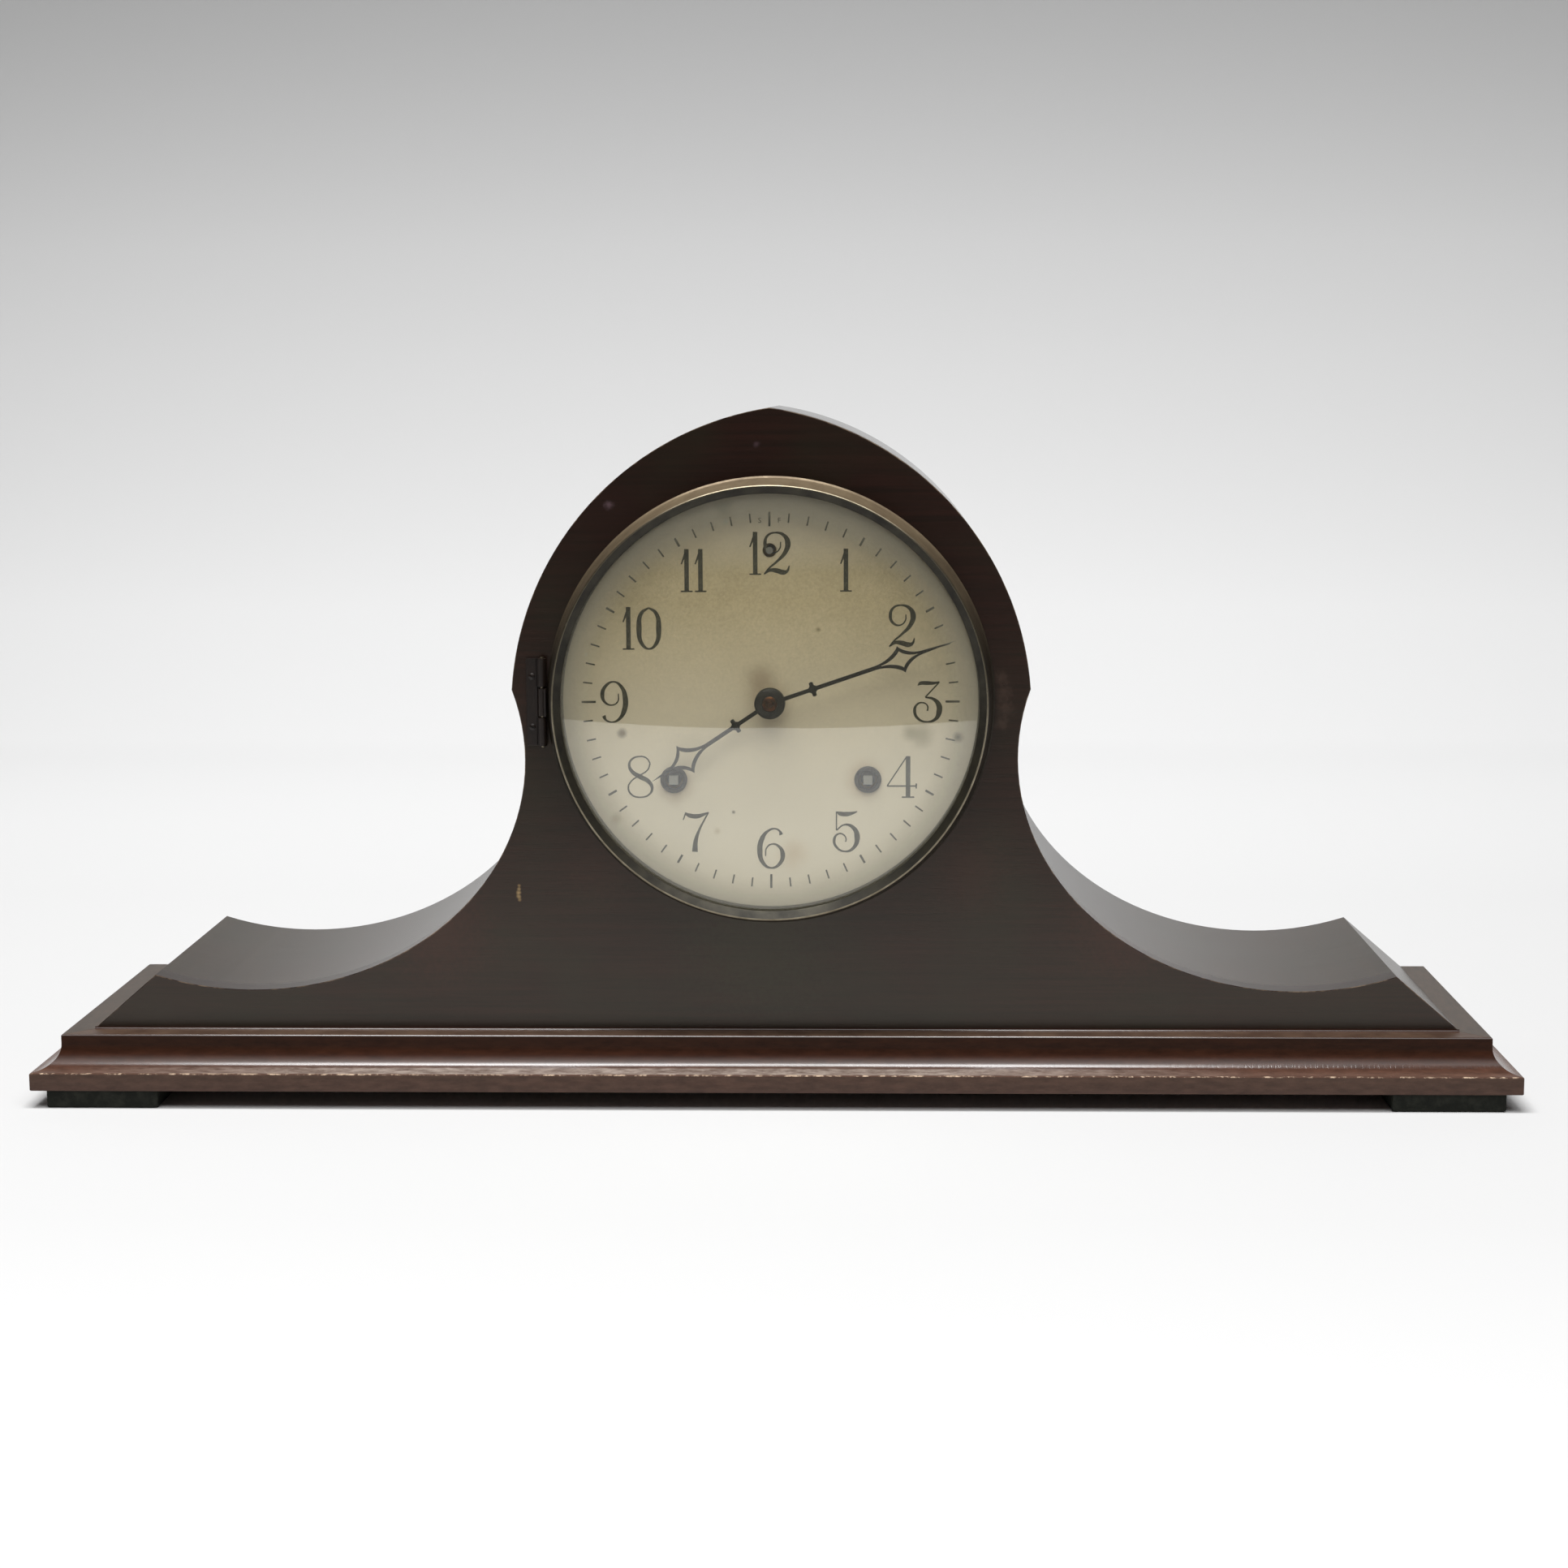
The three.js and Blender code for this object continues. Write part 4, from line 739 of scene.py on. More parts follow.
# %% Moulding section
BASE_FLOOR, BASE_TOP = moulding_low.z, moulding_high.z
BASE_BACK = size_of("base_moulding_right")[1].y
LEDGE, COVE_REACH, COVE_HEIGHT, PLINTH = 9.7, 9.3, 8.5, 6.4
PLINTH_TOP = BASE_FLOOR + PLINTH
REACH = LEDGE + COVE_REACH
ARRIS = 0.35
cove = ellipse(REACH, PLINTH_TOP + COVE_HEIGHT, COVE_REACH, COVE_HEIGHT, 1.5 * math.pi, math.pi, 20)
section = (
    [(0, BASE_FLOOR), (REACH - ARRIS, BASE_FLOOR), (REACH, BASE_FLOOR + ARRIS)]
    + [(REACH, PLINTH_TOP - ARRIS), (REACH - 0.15, PLINTH_TOP - 0.12)]
    + cove[1:]
    + [(LEDGE, BASE_TOP - ARRIS), (LEDGE - 0.15, BASE_TOP - 0.15), (LEDGE - ARRIS, BASE_TOP), (0, BASE_TOP)]
)
print("section points:", len(section))


# %% Moulding lengths
def mitred(out, z, gap=0.0):
    return CASE_HALF + out, CASE_FRONT - out + gap, z


def is_arris(face, height, out):
    place = middle(face)
    near = abs(place.z - height) < 0.55 and -place.y - abs(CASE_FRONT) > out
    return near and abs(face.normal.x) < 0.9 and face.normal.z < 0.99


draw([mitred(out, z) for out, z in section])
bpy.ops.mesh.edge_face_add()
bpy.ops.mesh.extrude_region_move()
bpy.ops.transform.resize(value=(-1, 1, 1), center_override=(0, 0, 0))
fix_normals()
bpy.context.object.data.materials.append(moulding_wood)
paint(dull_ledge, lambda face: face.normal.z > 0.99 and middle(face).z > BASE_TOP - 0.1)
paint(worn_moulding, lambda face: is_arris(face, PLINTH_TOP, REACH - 1.2))
paint(shellac_run, lambda face: is_arris(face, BASE_TOP, LEDGE - 0.45))
settle("base_moulding_front_length", moulding_wood, "case", "moulding_wood", "base_moulding_front")

MITRE = 0.15
draw([mitred(out, z, MITRE) for out, z in section])
bpy.ops.mesh.edge_face_add()
bpy.ops.mesh.extrude_region_move()
bpy.ops.transform.resize(value=(1, 0, 1), center_override=(0, BASE_BACK * MM, 0))
fix_normals()
side_length = settle(
    "base_moulding_right_length", side_moulding_wood, "case", "moulding_wood", "base_moulding_right"
)
copy_of(side_length, mirrored=True)
settle("base_moulding_left_length", side_moulding_wood, "case", "moulding_wood", "base_moulding_left")

# %% [markdown]
# Where the case meets the base, the shellac has run into the corner as a thin fillet. It catches the lamp
# as a bright line along the foot of the case.

# %% Shellac fillet
FILLET = 0.8
hollow_arc = ellipse(CASE_FRONT - FILLET, BASE_TOP + FILLET, FILLET, FILLET, 1.5 * math.pi, 2 * math.pi, 6)
draw([(-CASE_HALF, y, z) for y, z in [(CASE_FRONT, BASE_TOP)] + hollow_arc])
bpy.ops.mesh.edge_face_add()
thicken(x=2 * CASE_HALF)
settle("shellac_fillet", shellac_run, "case", "moulding_wood")

# %% [markdown]
# The feet are low blocks of black-painted wood under the four corners. One is a cube at its size with
# eased edges, and the others are copies of it.

# %% Feet
# Black paint on wood: almost black, with no shine, and grey where it is scuffed
black_paint = start_finish("black_painted_wood", Roughness=0.62, Specular_IOR_Level=0.15)
place = wire(black_paint, "TexCoord", {}).outputs["Object"]
SCUFF = 4
scuffs = wire(
    black_paint, "TexNoise", {"Vector": place, "Scale": 1 / (SCUFF * MM), "Detail": 5, "Roughness": 0.7}
)
shade = wire(
    black_paint,
    "ValToRGB",
    {"Fac": scuffs.outputs["Fac"]},
    [(0.45, colour("#181a15")), (0.8, colour("#30312a"))],
)
brush = wire(black_paint, "Bump", {"Height": scuffs.outputs["Fac"], "Strength": 0.3, "Distance": 0.1 * MM})
set_sockets(black_paint, {"Base_Color": shade.outputs["Color"], "Normal": brush.outputs[0]})

foot_low, foot_high = size_of("foot_front_right")
begin()
bpy.ops.mesh.primitive_cube_add(
    size=1, location=(foot_low + foot_high) / 2 * MM, scale=(foot_high - foot_low) * MM
)
apply_place()
bpy.ops.object.mode_set(mode="EDIT")
choose("EDGE", lambda edge: not lies_at(edge, "z", foot_high.z))
ease(1.0, steps=3)
foot = settle("foot_block_front_right", black_paint, "case", "black_wood", "foot_front_right")
to_back = size_of("foot_back_right")[0].y - foot_low.y
to_left = size_of("foot_front_left")[0].x - foot_low.x
moves = {"front_left": (to_left, 0, 0), "back_right": (0, to_back, 0), "back_left": (to_left, to_back, 0)}
for corner, move in moves.items():
    copy_of(foot, move)
    settle("foot_block_" + corner, black_paint, "case", "black_wood", "foot_" + corner)

# %% [markdown]
# ## Dial
# The dial is a thin metal disc, silvered and lacquered, that has aged to a dull cream. Old lacquer browns
# round the holes, where oil creeps out, and in spots where damp got in. Each stain is a distance from a
# point on the dial, broken up by noise, that mixes in a stain colour.

# %% Dial finish
silvered = start_finish("silvered_dial_lacquer", Roughness=0.45, Specular_IOR_Level=0.35)
place = wire(silvered, "TexCoord", {}).outputs["Object"]
SPECK, STAIN_CLOUD = 0.8, 22
speckle, clouds = [
    wire(silvered, "TexNoise", {"Vector": place, "Scale": 1 / (size * MM), "Detail": 4, "Roughness": 0.6})
    for size in (SPECK, STAIN_CLOUD)
]
ground = wire(
    silvered,
    "ValToRGB",
    {"Fac": clouds.outputs["Fac"]},
    [(0.3, colour("#d9c7a1")), (0.7, colour("#e5d3ae"))],
)
grain = wire(
    silvered,
    "ValToRGB",
    {"Fac": speckle.outputs["Fac"]},
    [(0.3, colour("#e4e4e4")), (0.7, colour("#ffffff"))],
)
toned = wire(
    silvered,
    "Mix",
    {0: 1.0, 6: ground.outputs["Color"], 7: grain.outputs["Color"]},
    data_type="RGBA",
    blend_type="MULTIPLY",
)

# Painted light: the lower part of the plate is painted paler for the light that the table throws up on it,
# and the top is painted paler to lift the shadow of the bezel, so the band between them is darker.
PALE_BELOW, PALE_TOP = (DIAL_Z - 45) * MM, (DIAL_Z + 70) * MM
level = wire(silvered, "SeparateXYZ", {"Vector": place})
rise = wire(silvered, "MapRange", {0: level.outputs["Z"], 1: PALE_BELOW, 2: PALE_TOP})
dial_painted_light = wire(
    silvered,
    "ValToRGB",
    {"Fac": rise.outputs[0]},
    [(0.0, grey(0.95)), (1.0, grey(0.8)), (0.7, grey(0.0)), (0.78, grey(0.0))],
)
dial_with_painted_light = wire(
    silvered,
    "Mix",
    {0: dial_painted_light.outputs["Color"], 6: toned.outputs[2], 7: colour("#fff6e8")},
    data_type="RGBA",
)

# %% Stains on the dial
WIND_X, WIND_Z = 34.2, -27.6
# Millimetres right of the dial's centre, above it and in radius, then the strength and the colour
STAINS = [
    (0, 0, 12, 0.4, "#8a6d52"),
    (-3, 8, 9, 0.4, "#7d6048"),
    (WIND_X - 1, WIND_Z, 10, 0.5, "#b08a5c"),
    (-WIND_X + 1, WIND_Z - 2, 10, 0.6, "#a8804e"),
    (53, -11.5, 6.5, 0.55, "#8a8056"),
    (49, -11, 4.5, 0.5, "#8a8056"),
    (65.9, -12.6, 3.2, 0.9, "#3f3a28"),
    (-52.3, -11.1, 2.4, 0.8, "#6b5636"),
    (-13.2, -39.2, 1.1, 0.9, "#4d452f"),
    (8, -54, 9, 0.35, "#cfa978"),
    (16.9, 25.3, 1.4, 0.7, "#6e6748"),
    (-54.8, -41.5, 3.5, 0.45, "#9c8350"),
    (-15.6, 66.8, 5.5, 0.4, "#6f6f58"),
    (-15.1, 63.1, 1.5, 0.8, "#dcdccf"),
    (-64.6, 16.8, 1.2, 0.7, "#d6d6c6"),
    (-19, -46, 2, 0.3, "#a8894f"),
]
shade = spots(silvered, clouds, dial_with_painted_light.outputs[2], DIAL_FRONT, STAINS)
GRAIN_DEPTH = 0.02 * MM
frosting = wire(
    silvered, "Bump", {"Height": speckle.outputs["Fac"], "Strength": 0.15, "Distance": GRAIN_DEPTH}
)
set_sockets(silvered, {"Base_Color": shade, "Normal": frosting.outputs[0]})
print("stains on the dial:", len(STAINS))

# %% Dial plate
REGULATOR_Z = 53.1
begin()
bpy.ops.mesh.primitive_circle_add(
    vertices=128,
    radius=DIAL_RADIUS * MM,
    fill_type="NGON",
    location=Vector((0, DIAL_FRONT, DIAL_Z)) * MM,
    rotation=(math.pi / 2, 0, 0),
)
apply_place()
bpy.ops.object.mode_set(mode="EDIT")
bpy.ops.mesh.select_all(action="SELECT")
thicken(y=DIAL_BACK - DIAL_FRONT)
choose("EDGE", lambda edge: lies_at(edge, "y", DIAL_FRONT))
ease(0.3)
dial = bpy.context.object
HAND_HOLE, WINDING_HOLE, REGULATOR_HOLE = 4.2, 4.05, 2.45
holes = [
    (0, 0, HAND_HOLE), (WIND_X, WIND_Z, WINDING_HOLE), (-WIND_X, WIND_Z, WINDING_HOLE),
    (0, REGULATOR_Z, REGULATOR_HOLE),
]
for x, z, radius in holes:
    bore(dial, x, DIAL_Z + z, radius, DIAL_FRONT - 2, DIAL_BACK + 2, sides=48)
settle("dial_disc", silvered, "case", "silvered_dial", "dial_plate")

# %% [markdown]
# ## Minute track
# The minutes are sixty short printed strokes, those of the five minutes thicker, and those of the
# quarters longer as well. A stroke is a thin plate of paint. It is a plane at its size, pulled to the
# paint's thickness, copied round the dial and turned to its minute.

# %% Printed paint
# Thin black print on metal: a soft dull black, worn to grey in specks
printed = start_finish("printed_dial_black", Roughness=0.6, Specular_IOR_Level=0.3)
place = wire(printed, "TexCoord", {}).outputs["Object"]
PRINT_WEAR = 1.2
wear = wire(
    printed, "TexNoise", {"Vector": place, "Scale": 1 / (PRINT_WEAR * MM), "Detail": 4, "Roughness": 0.65}
)
ink = wire(
    printed,
    "ValToRGB",
    {"Fac": wear.outputs["Fac"]},
    [(0.42, colour("#323126")), (0.8, colour("#57533f"))],
)
set_sockets(printed, {"Base_Color": ink.outputs["Color"]})
print("print:", printed.name)

# %% Minute track
PAINT = 0.05
PAINT_BACK = DIAL_FRONT - 0.005
QUARTER_STROKE, MINUTE_STROKE = (61.4, 66.4), (62.9, 66.2)
THICK_STROKE, THIN_STROKE = 0.78, 0.55


def join(*pieces):
    only(pieces[0])
    for piece in pieces[1:]:
        piece.select_set(True)
    bpy.ops.object.join()
    return bpy.context.object


def minute_stroke(minute):
    quarter, five = minute % 15 == 0, minute % 5 == 0
    inner, outer = QUARTER_STROKE if quarter else MINUTE_STROKE
    width = THICK_STROKE if five else THIN_STROKE
    begin()
    bpy.ops.mesh.primitive_plane_add(size=1)
    stroke = bpy.context.object
    stroke.scale = (width * MM, (outer - inner) * MM, 1)
    stroke.location.y = (inner + outer) / 2 * MM
    apply_place()
    stroke.rotation_euler = (math.pi / 2, math.radians(6 * minute), 0)
    stroke.location = Vector((0, PAINT_BACK, DIAL_Z)) * MM
    apply_place()
    return stroke


join(*[minute_stroke(minute) for minute in range(60)])
bpy.ops.object.mode_set(mode="EDIT")
bpy.ops.mesh.select_all(action="SELECT")
thicken(y=-PAINT)
settle("minute_track", printed, "case", "silvered_dial")

# %% [markdown]
# ## Numerals
# The numerals are upright, with fat stems and hairline curves, as a broad pen draws them. So each one is
# drawn as pen strokes: a Bezier curve through a few points, where each point carries the width of the
# stroke there. The curve is pulled to a flat ribbon of that width, made a mesh, stood up and put at its
# hour.

# %% Pen strokes of the numerals, in millimetres from the lower left corner: across, up, width
STEM, HAIR = 1.6, 0.5
ONE = [
    [(2.05, 15, STEM), (2.05, 0.2, STEM)],
    [(1.6, 13.2, 0.9), (0.8, 11.2, 0.6), (0.2, 9.7, HAIR)],
    [(0, 0.25, HAIR), (4.1, 0.25, HAIR)],
]
NUMERAL_STROKES = {
    "0": [
        [(4.4, 14.7, 0.6), (1.9, 12.9, 1.3), (0.95, 7.5, 1.9), (1.9, 2.1, 1.3), (4.4, 0.3, 0.6),
         (6.9, 2.1, 1.3), (7.85, 7.5, 1.9), (6.9, 12.9, 1.3), (4.4, 14.7, 0.6)],
    ],
    "1": ONE,
    "2": [
        [(6.1, 11.5, 0.4), (5.8, 9.2, HAIR), (3.9, 7.7, 0.55), (1.5, 8.6, 0.9), (0.65, 11.2, 1.2),
         (1.7, 13.8, 0.8), (4.3, 14.7, 0.6), (7.2, 13.8, 1.2), (8.6, 11.2, 2.0), (7.7, 7.9, 1.5),
         (4.7, 4.6, 0.8), (1.9, 2.2, 0.6), (0.3, 0.2, HAIR)],
        [(0.3, 0.3, HAIR), (2.3, 1.6, 1.1), (4.6, 1.5, 1.7), (7.0, 0.9, 1.8), (8.3, 1.3, 1.0),
         (9.1, 3.2, 0.4)],
    ],
    "3": [
        [(1.8, 13.2, 0.4), (2.7, 13.9, 1.2), (5.0, 14.0, 1.4), (7.5, 14.0, 1.0), (9.4, 14.4, HAIR)],
        [(9.3, 14.3, HAIR), (7.0, 11.8, HAIR), (4.4, 9.0, HAIR)],
        [(4.4, 9.0, HAIR), (7.2, 8.4, 1.0), (9.2, 6.2, 1.9), (9.3, 4.0, 2.0), (8.1, 1.4, 1.2),
         (5.2, 0.35, 0.55), (2.1, 1.3, 0.9), (0.7, 4.2, 1.1), (1.6, 6.5, 0.7), (3.6, 7.1, HAIR),
         (5.2, 6.0, HAIR), (5.2, 4.2, 0.6)],
    ],
    "4": [
        [(7.6, 14.8, STEM), (7.6, 0.3, STEM)],
        [(7.1, 14.6, 0.45), (0.3, 4.3, 0.45)],
        [(0.2, 4.2, HAIR), (10.5, 4.2, HAIR)],
        [(10.5, 3.3, 0.4), (10.5, 5.1, 0.6)],
        [(5.4, 0.25, HAIR), (9.8, 0.25, HAIR)],
    ],
    "5": [
        [(1.3, 14.5, 0.4), (2.6, 13.9, 1.5), (5.0, 13.7, 1.6), (7.2, 14.1, 0.9), (8.6, 14.6, 0.4)],
        [(1.3, 14.6, 0.45), (1.3, 7.9, 0.45)],
        [(1.3, 7.9, 0.45), (4.2, 9.9, 0.6), (7.2, 8.9, 1.3), (8.6, 5.7, 2.0), (7.3, 1.6, 1.1),
         (4.3, 0.35, 0.55), (1.4, 1.8, 0.8), (0.5, 4.5, 1.0), (1.9, 6.6, 0.6), (3.8, 6.3, HAIR),
         (4.7, 4.6, 0.4), (4.5, 3.8, HAIR)],
    ],
    "6": [
        [(8.5, 12.2, 1.4), (8.0, 13.5, 0.7), (6.3, 14.4, HAIR), (4.0, 13.7, 0.8), (1.7, 10.8, 1.7),
         (0.9, 6.6, 1.9), (2.0, 2.2, 1.3), (4.9, 0.35, 0.6), (7.9, 1.9, 1.2), (9.0, 5.2, 1.7),
         (7.6, 8.1, 0.9), (5.2, 8.9, HAIR), (3.3, 7.5, HAIR), (2.9, 4.6, 0.4)],
    ],
    "7": [
        [(0.2, 11.6, 0.4), (1.1, 14.3, HAIR)],
        [(1.0, 13.9, 0.8), (2.4, 13.2, 1.5), (5.0, 12.9, 1.6), (7.5, 13.6, 1.0), (9.2, 14.3, 0.4)],
        [(9.1, 14.2, 0.45), (7.2, 10.8, 0.6), (5.6, 7.5, 0.9), (4.5, 4.0, 1.5), (4.2, 0.2, 2.0)],
    ],
    "8": [
        [(8.2, 12.3, HAIR), (6.9, 14.2, HAIR), (4.4, 14.75, HAIR), (1.7, 13.7, 0.7), (0.8, 11.6, 0.9),
         (1.9, 9.3, 1.3), (4.7, 7.5, 1.7), (7.5, 5.9, 1.5), (8.8, 3.5, 1.0), (7.7, 1.2, 0.6),
         (4.6, 0.25, HAIR), (1.6, 1.1, 0.6), (0.4, 3.6, 0.6), (1.5, 6.0, HAIR), (4.6, 8.1, HAIR),
         (7.3, 10.0, HAIR), (8.2, 12.3, HAIR)],
    ],
    "9": [
        [(1.2, 2.6, 1.4), (2.0, 1.1, 0.7), (4.2, 0.35, HAIR), (6.6, 1.4, 1.0), (8.5, 4.6, 1.8),
         (8.9, 8.6, 1.9), (7.6, 12.8, 1.2), (4.9, 14.6, 0.55), (2.1, 13.2, 1.1), (0.8, 10.0, 1.5),
         (1.9, 7.2, 0.8), (4.4, 6.4, HAIR), (6.2, 7.6, HAIR), (6.5, 10.4, 0.4)],
    ],
}
NUMERAL_WIDTH = {
    "0": 8.8, "1": 4.1, "2": 9.3, "3": 10.2, "4": 10.7, "5": 9.6, "6": 9.8, "7": 9.2, "8": 9.3, "9": 9.8,
}
NUMERAL_HEIGHT, LETTER_GAP = 15, 0.75
NUMERAL_RING, RING_OF_HOUR = 53.2, {12: 52, 6: 52, 3: 55, 9: 55, 10: 51.8}
print("numerals drawn:", len(NUMERAL_STROKES))


# %% Numerals round the dial
def pen(strokes, left, bottom):
    sheet = bpy.data.curves.new("strokes", "CURVE")
    sheet.dimensions, sheet.twist_mode, sheet.resolution_u = "3D", "Z_UP", 8
    sheet.extrude = MM / 2
    for stroke in strokes:
        line = sheet.splines.new("BEZIER")
        line.bezier_points.add(len(stroke) - 1)
        for knot, (x, z, width) in zip(line.bezier_points, stroke):
            knot.co = Vector((left + x, bottom + z, 0)) * MM
            knot.handle_left_type = knot.handle_right_type = "AUTO"
            knot.radius, knot.tilt = width, math.pi / 2
    drawn = bpy.data.objects.new("strokes", sheet)
    bpy.context.scene.collection.objects.link(drawn)
    only(drawn)
    bpy.ops.object.convert(target="MESH")
    return bpy.context.object


def numeral(hour):
    digits = str(hour)
    width = sum(NUMERAL_WIDTH[d] for d in digits) + LETTER_GAP * (len(digits) - 1)
    radius = RING_OF_HOUR.get(hour, NUMERAL_RING)
    angle = math.radians(30 * hour)
    left = radius * math.sin(angle) - width / 2
    bottom = radius * math.cos(angle) - NUMERAL_HEIGHT / 2
    made = []
    for digit in digits:
        made.append(pen(NUMERAL_STROKES[digit], left, bottom))
        left += NUMERAL_WIDTH[digit] + LETTER_GAP
    return made


numerals = join(*[digit for hour in range(1, 13) for digit in numeral(hour)])
numerals.rotation_euler.x = math.pi / 2
numerals.location = Vector((0, PAINT_BACK, DIAL_Z)) * MM
apply_place()
bpy.ops.object.mode_set(mode="EDIT")
bpy.ops.mesh.select_all(action="SELECT")
bpy.ops.mesh.remove_doubles(threshold=0.001 * MM)
thicken(y=-PAINT)
settle("hour_numerals", printed, "case", "silvered_dial")

# %% [markdown]
# Beside the twelve, an S and an F say which way to turn the regulator to make the clock go slower or
# faster. They are text made a mesh.

# %% Slow and fast letters
LETTER_X, LETTER_Z, LETTER_SIZE = 3.4, 62.6, 2.6
letters = []
for letter, x in [("S", -LETTER_X), ("F", LETTER_X)]:
    begin()
    bpy.ops.object.text_add()
    text = bpy.context.object
    text.data.body, text.data.size, text.data.align_x = letter, LETTER_SIZE * MM, "CENTER"
    text.data.resolution_u = 4
    bpy.ops.object.convert(target="MESH")
    letter_piece = bpy.context.object
    letter_piece.rotation_euler.x = math.pi / 2
    letter_piece.location = Vector((x, PAINT_BACK, DIAL_Z + LETTER_Z)) * MM
    apply_place()
    letters.append(letter_piece)
join(*letters)
bpy.ops.object.mode_set(mode="EDIT")
bpy.ops.mesh.select_all(action="SELECT")
thicken(y=-PAINT)
settle("regulator_letters", printed, "case", "silvered_dial")

# %% [markdown]
# ## Bezel and glass
# The bezel is a spun brass ring, bronzed and dulled by handling: a tan brown metal with brighter rubbed
# edges. Its section is a cone with a narrow rim, a bevel inside and a lip that holds the glass. The glass
# is a shallow dome of one thickness. Both are spun from their sections in steps fine enough to look
# round.


# %% Brass and steel
def metal(name, dark, light, mottle, rough_from, rough_to, scratch, **sockets):
    finish = start_finish(name, **{"Metallic": 1.0, **sockets})
    place = wire(finish, "TexCoord", {}).outputs["Object"]
    patina = wire(
        finish, "TexNoise", {"Vector": place, "Scale": 1 / (mottle * MM), "Detail": 6, "Roughness": 0.65}
    )
    shade = wire(
        finish, "ValToRGB", {"Fac": patina.outputs["Fac"]}, [(0.35, colour(dark)), (0.68, colour(light))]
    )
    rough = wire(
        finish, "MapRange", {0: patina.outputs["Fac"], 1: 0.35, 2: 0.7, 3: rough_to, 4: rough_from}
    )
    fine = wire(finish, "TexNoise", {"Vector": place, "Scale": 1 / (scratch * MM), "Detail": 3})
    relief = wire(finish, "Bump", {"Height": fine.outputs["Fac"], "Strength": 0.12, "Distance": 0.01 * MM})
    set_sockets(
        finish,
        {"Base_Color": shade.outputs["Color"], "Roughness": rough.outputs[0], "Normal": relief.outputs[0]},
    )
    return finish


# %% Brass of the bezel
# Bronzed brass is tan, and it is painted almost black further down: painted shade below the lit top.
bezel_brass = metal("bronzed_brass", "#6f5f49", "#8d7c62", 11, 0.4, 0.55, 0.7, Metallic=0.4)
place = wire(bezel_brass, "TexCoord", {}).outputs["Object"]
level = wire(bezel_brass, "SeparateXYZ", {"Vector": place})
BLACK_TO, BRIGHT_FROM = (DIAL_Z + 15) * MM, (DIAL_Z + 72) * MM
bezel_painted_light = wire(bezel_brass, "MapRange", {0: level.outputs["Z"], 1: BLACK_TO, 2: BRIGHT_FROM, 3: 0.1, 4: 1})
patina = bezel_brass.node_tree.nodes["Principled BSDF"].inputs["Base Color"].links[0].from_socket
shade = wire(
    bezel_brass, "Mix", {0: bezel_painted_light.outputs[0], 6: colour("#15120d"), 7: patina}, data_type="RGBA"
)
set_sockets(bezel_brass, {"Base_Color": shade.outputs[2]})
# Its rim is rubbed to a pale thin line, and its inside is dark and dull.
rubbed_brass = metal("rubbed_brass_edge", "#7a715f", "#a39a85", 6, 0.25, 0.35, 0.5)
dark_brass = metal("darkened_brass", "#23201a", "#39352a", 8, 0.35, 0.5, 0.7, Metallic=0.5)
print("bezel finishes:", [finish.name for finish in (bezel_brass, rubbed_brass, dark_brass)])

# %% Brass and steel of the movement and the hands
# Warm yellow brass under lacquer, grey drawn steel, and dark grey-blue springs
movement_brass = metal("lacquered_clock_brass", "#a07d3e", "#c19b57", 30, 0.25, 0.4, 0.5)
steel = metal("drawn_steel", "#6f7173", "#a3a5a6", 8, 0.25, 0.45, 0.4)
spring_steel = metal("blued_spring_steel", "#3c4148", "#6a6f75", 10, 0.22, 0.4, 0.5)
# Blackened steel, shellacked bronze and japanned iron are coated, so their colour is black or nearly so.
black_steel = metal(
    "blackened_steel", "#0b0b0b", "#1c1a18", 5, 0.3, 0.45, 0.5, Metallic=0.0, Specular_IOR_Level=0.4
)
dark_bronze = metal(
    "hinge_under_shellac", "#1a130f", "#261c16", 4, 0.33, 0.4, 0.7, Metallic=0.0, Specular_IOR_Level=0.38
)
black_iron = metal("japanned_iron", "#121213", "#2c2c2d", 6, 0.45, 0.7, 1.2)
# Oxidised red brass is brown with copper red specks.
red_brass = metal("oxidised_red_brass", "#2c1a12", "#6b452f", 2, 0.25, 0.4, 0.5)
print("metals:", [finish.name for finish in (movement_brass, steel, spring_steel, black_steel, black_iron)])


# %% Spin a profile round an axis
def spin(profile, x=0.0, z=DIAL_Z, steps=96, loop=True):
    draw([(x + radius, depth, z) for radius, depth in profile], loop)
    bpy.ops.mesh.spin(steps=steps, angle=2 * math.pi, center=Vector((x, 0, z)) * MM, axis=(0, 1, 0))
    bpy.ops.mesh.select_all(action="SELECT")
    bpy.ops.mesh.remove_doubles(threshold=0.001 * MM)
    fix_normals()


# %% Bezel ring
bezel_low, bezel_high = size_of("bezel_ring")
BEZEL_BACK, BEZEL_FRONT, BEZEL_RADIUS = bezel_high.y, bezel_low.y, bezel_high.x
RIM, SIGHT, BEZEL_BORE = 76.1, 73.2, 75.0
RIM_INSIDE, BEVEL_BACK = RIM - 0.45, BEZEL_FRONT + 1.9
spin(
    [
        (BEZEL_BORE, BEZEL_BACK), (BEZEL_RADIUS - 0.2, BEZEL_BACK), (BEZEL_RADIUS, BEZEL_BACK - 0.2),
        (BEZEL_RADIUS, BEZEL_BACK - 0.9), (BEZEL_RADIUS - 0.35, BEZEL_BACK - 1.25),
        (BEZEL_RADIUS - 0.6, BEZEL_BACK - 1.5),
        (RIM + 0.3, BEZEL_FRONT + 0.7), (RIM + 0.12, BEZEL_FRONT + 0.2), (RIM - 0.15, BEZEL_FRONT),
        (RIM - 0.5, BEZEL_FRONT), (RIM - 0.75, BEZEL_FRONT + 0.2), (SIGHT + 0.2, BEVEL_BACK - 0.15),
        (SIGHT, BEVEL_BACK + 0.1), (SIGHT, BEVEL_BACK + 0.8), (BEZEL_BORE, BEVEL_BACK + 0.8),
    ],
    steps=160,
)
bpy.context.object.data.materials.append(bezel_brass)


def off_axis(face):
    place = middle(face)
    return math.hypot(place.x, place.z - DIAL_Z)


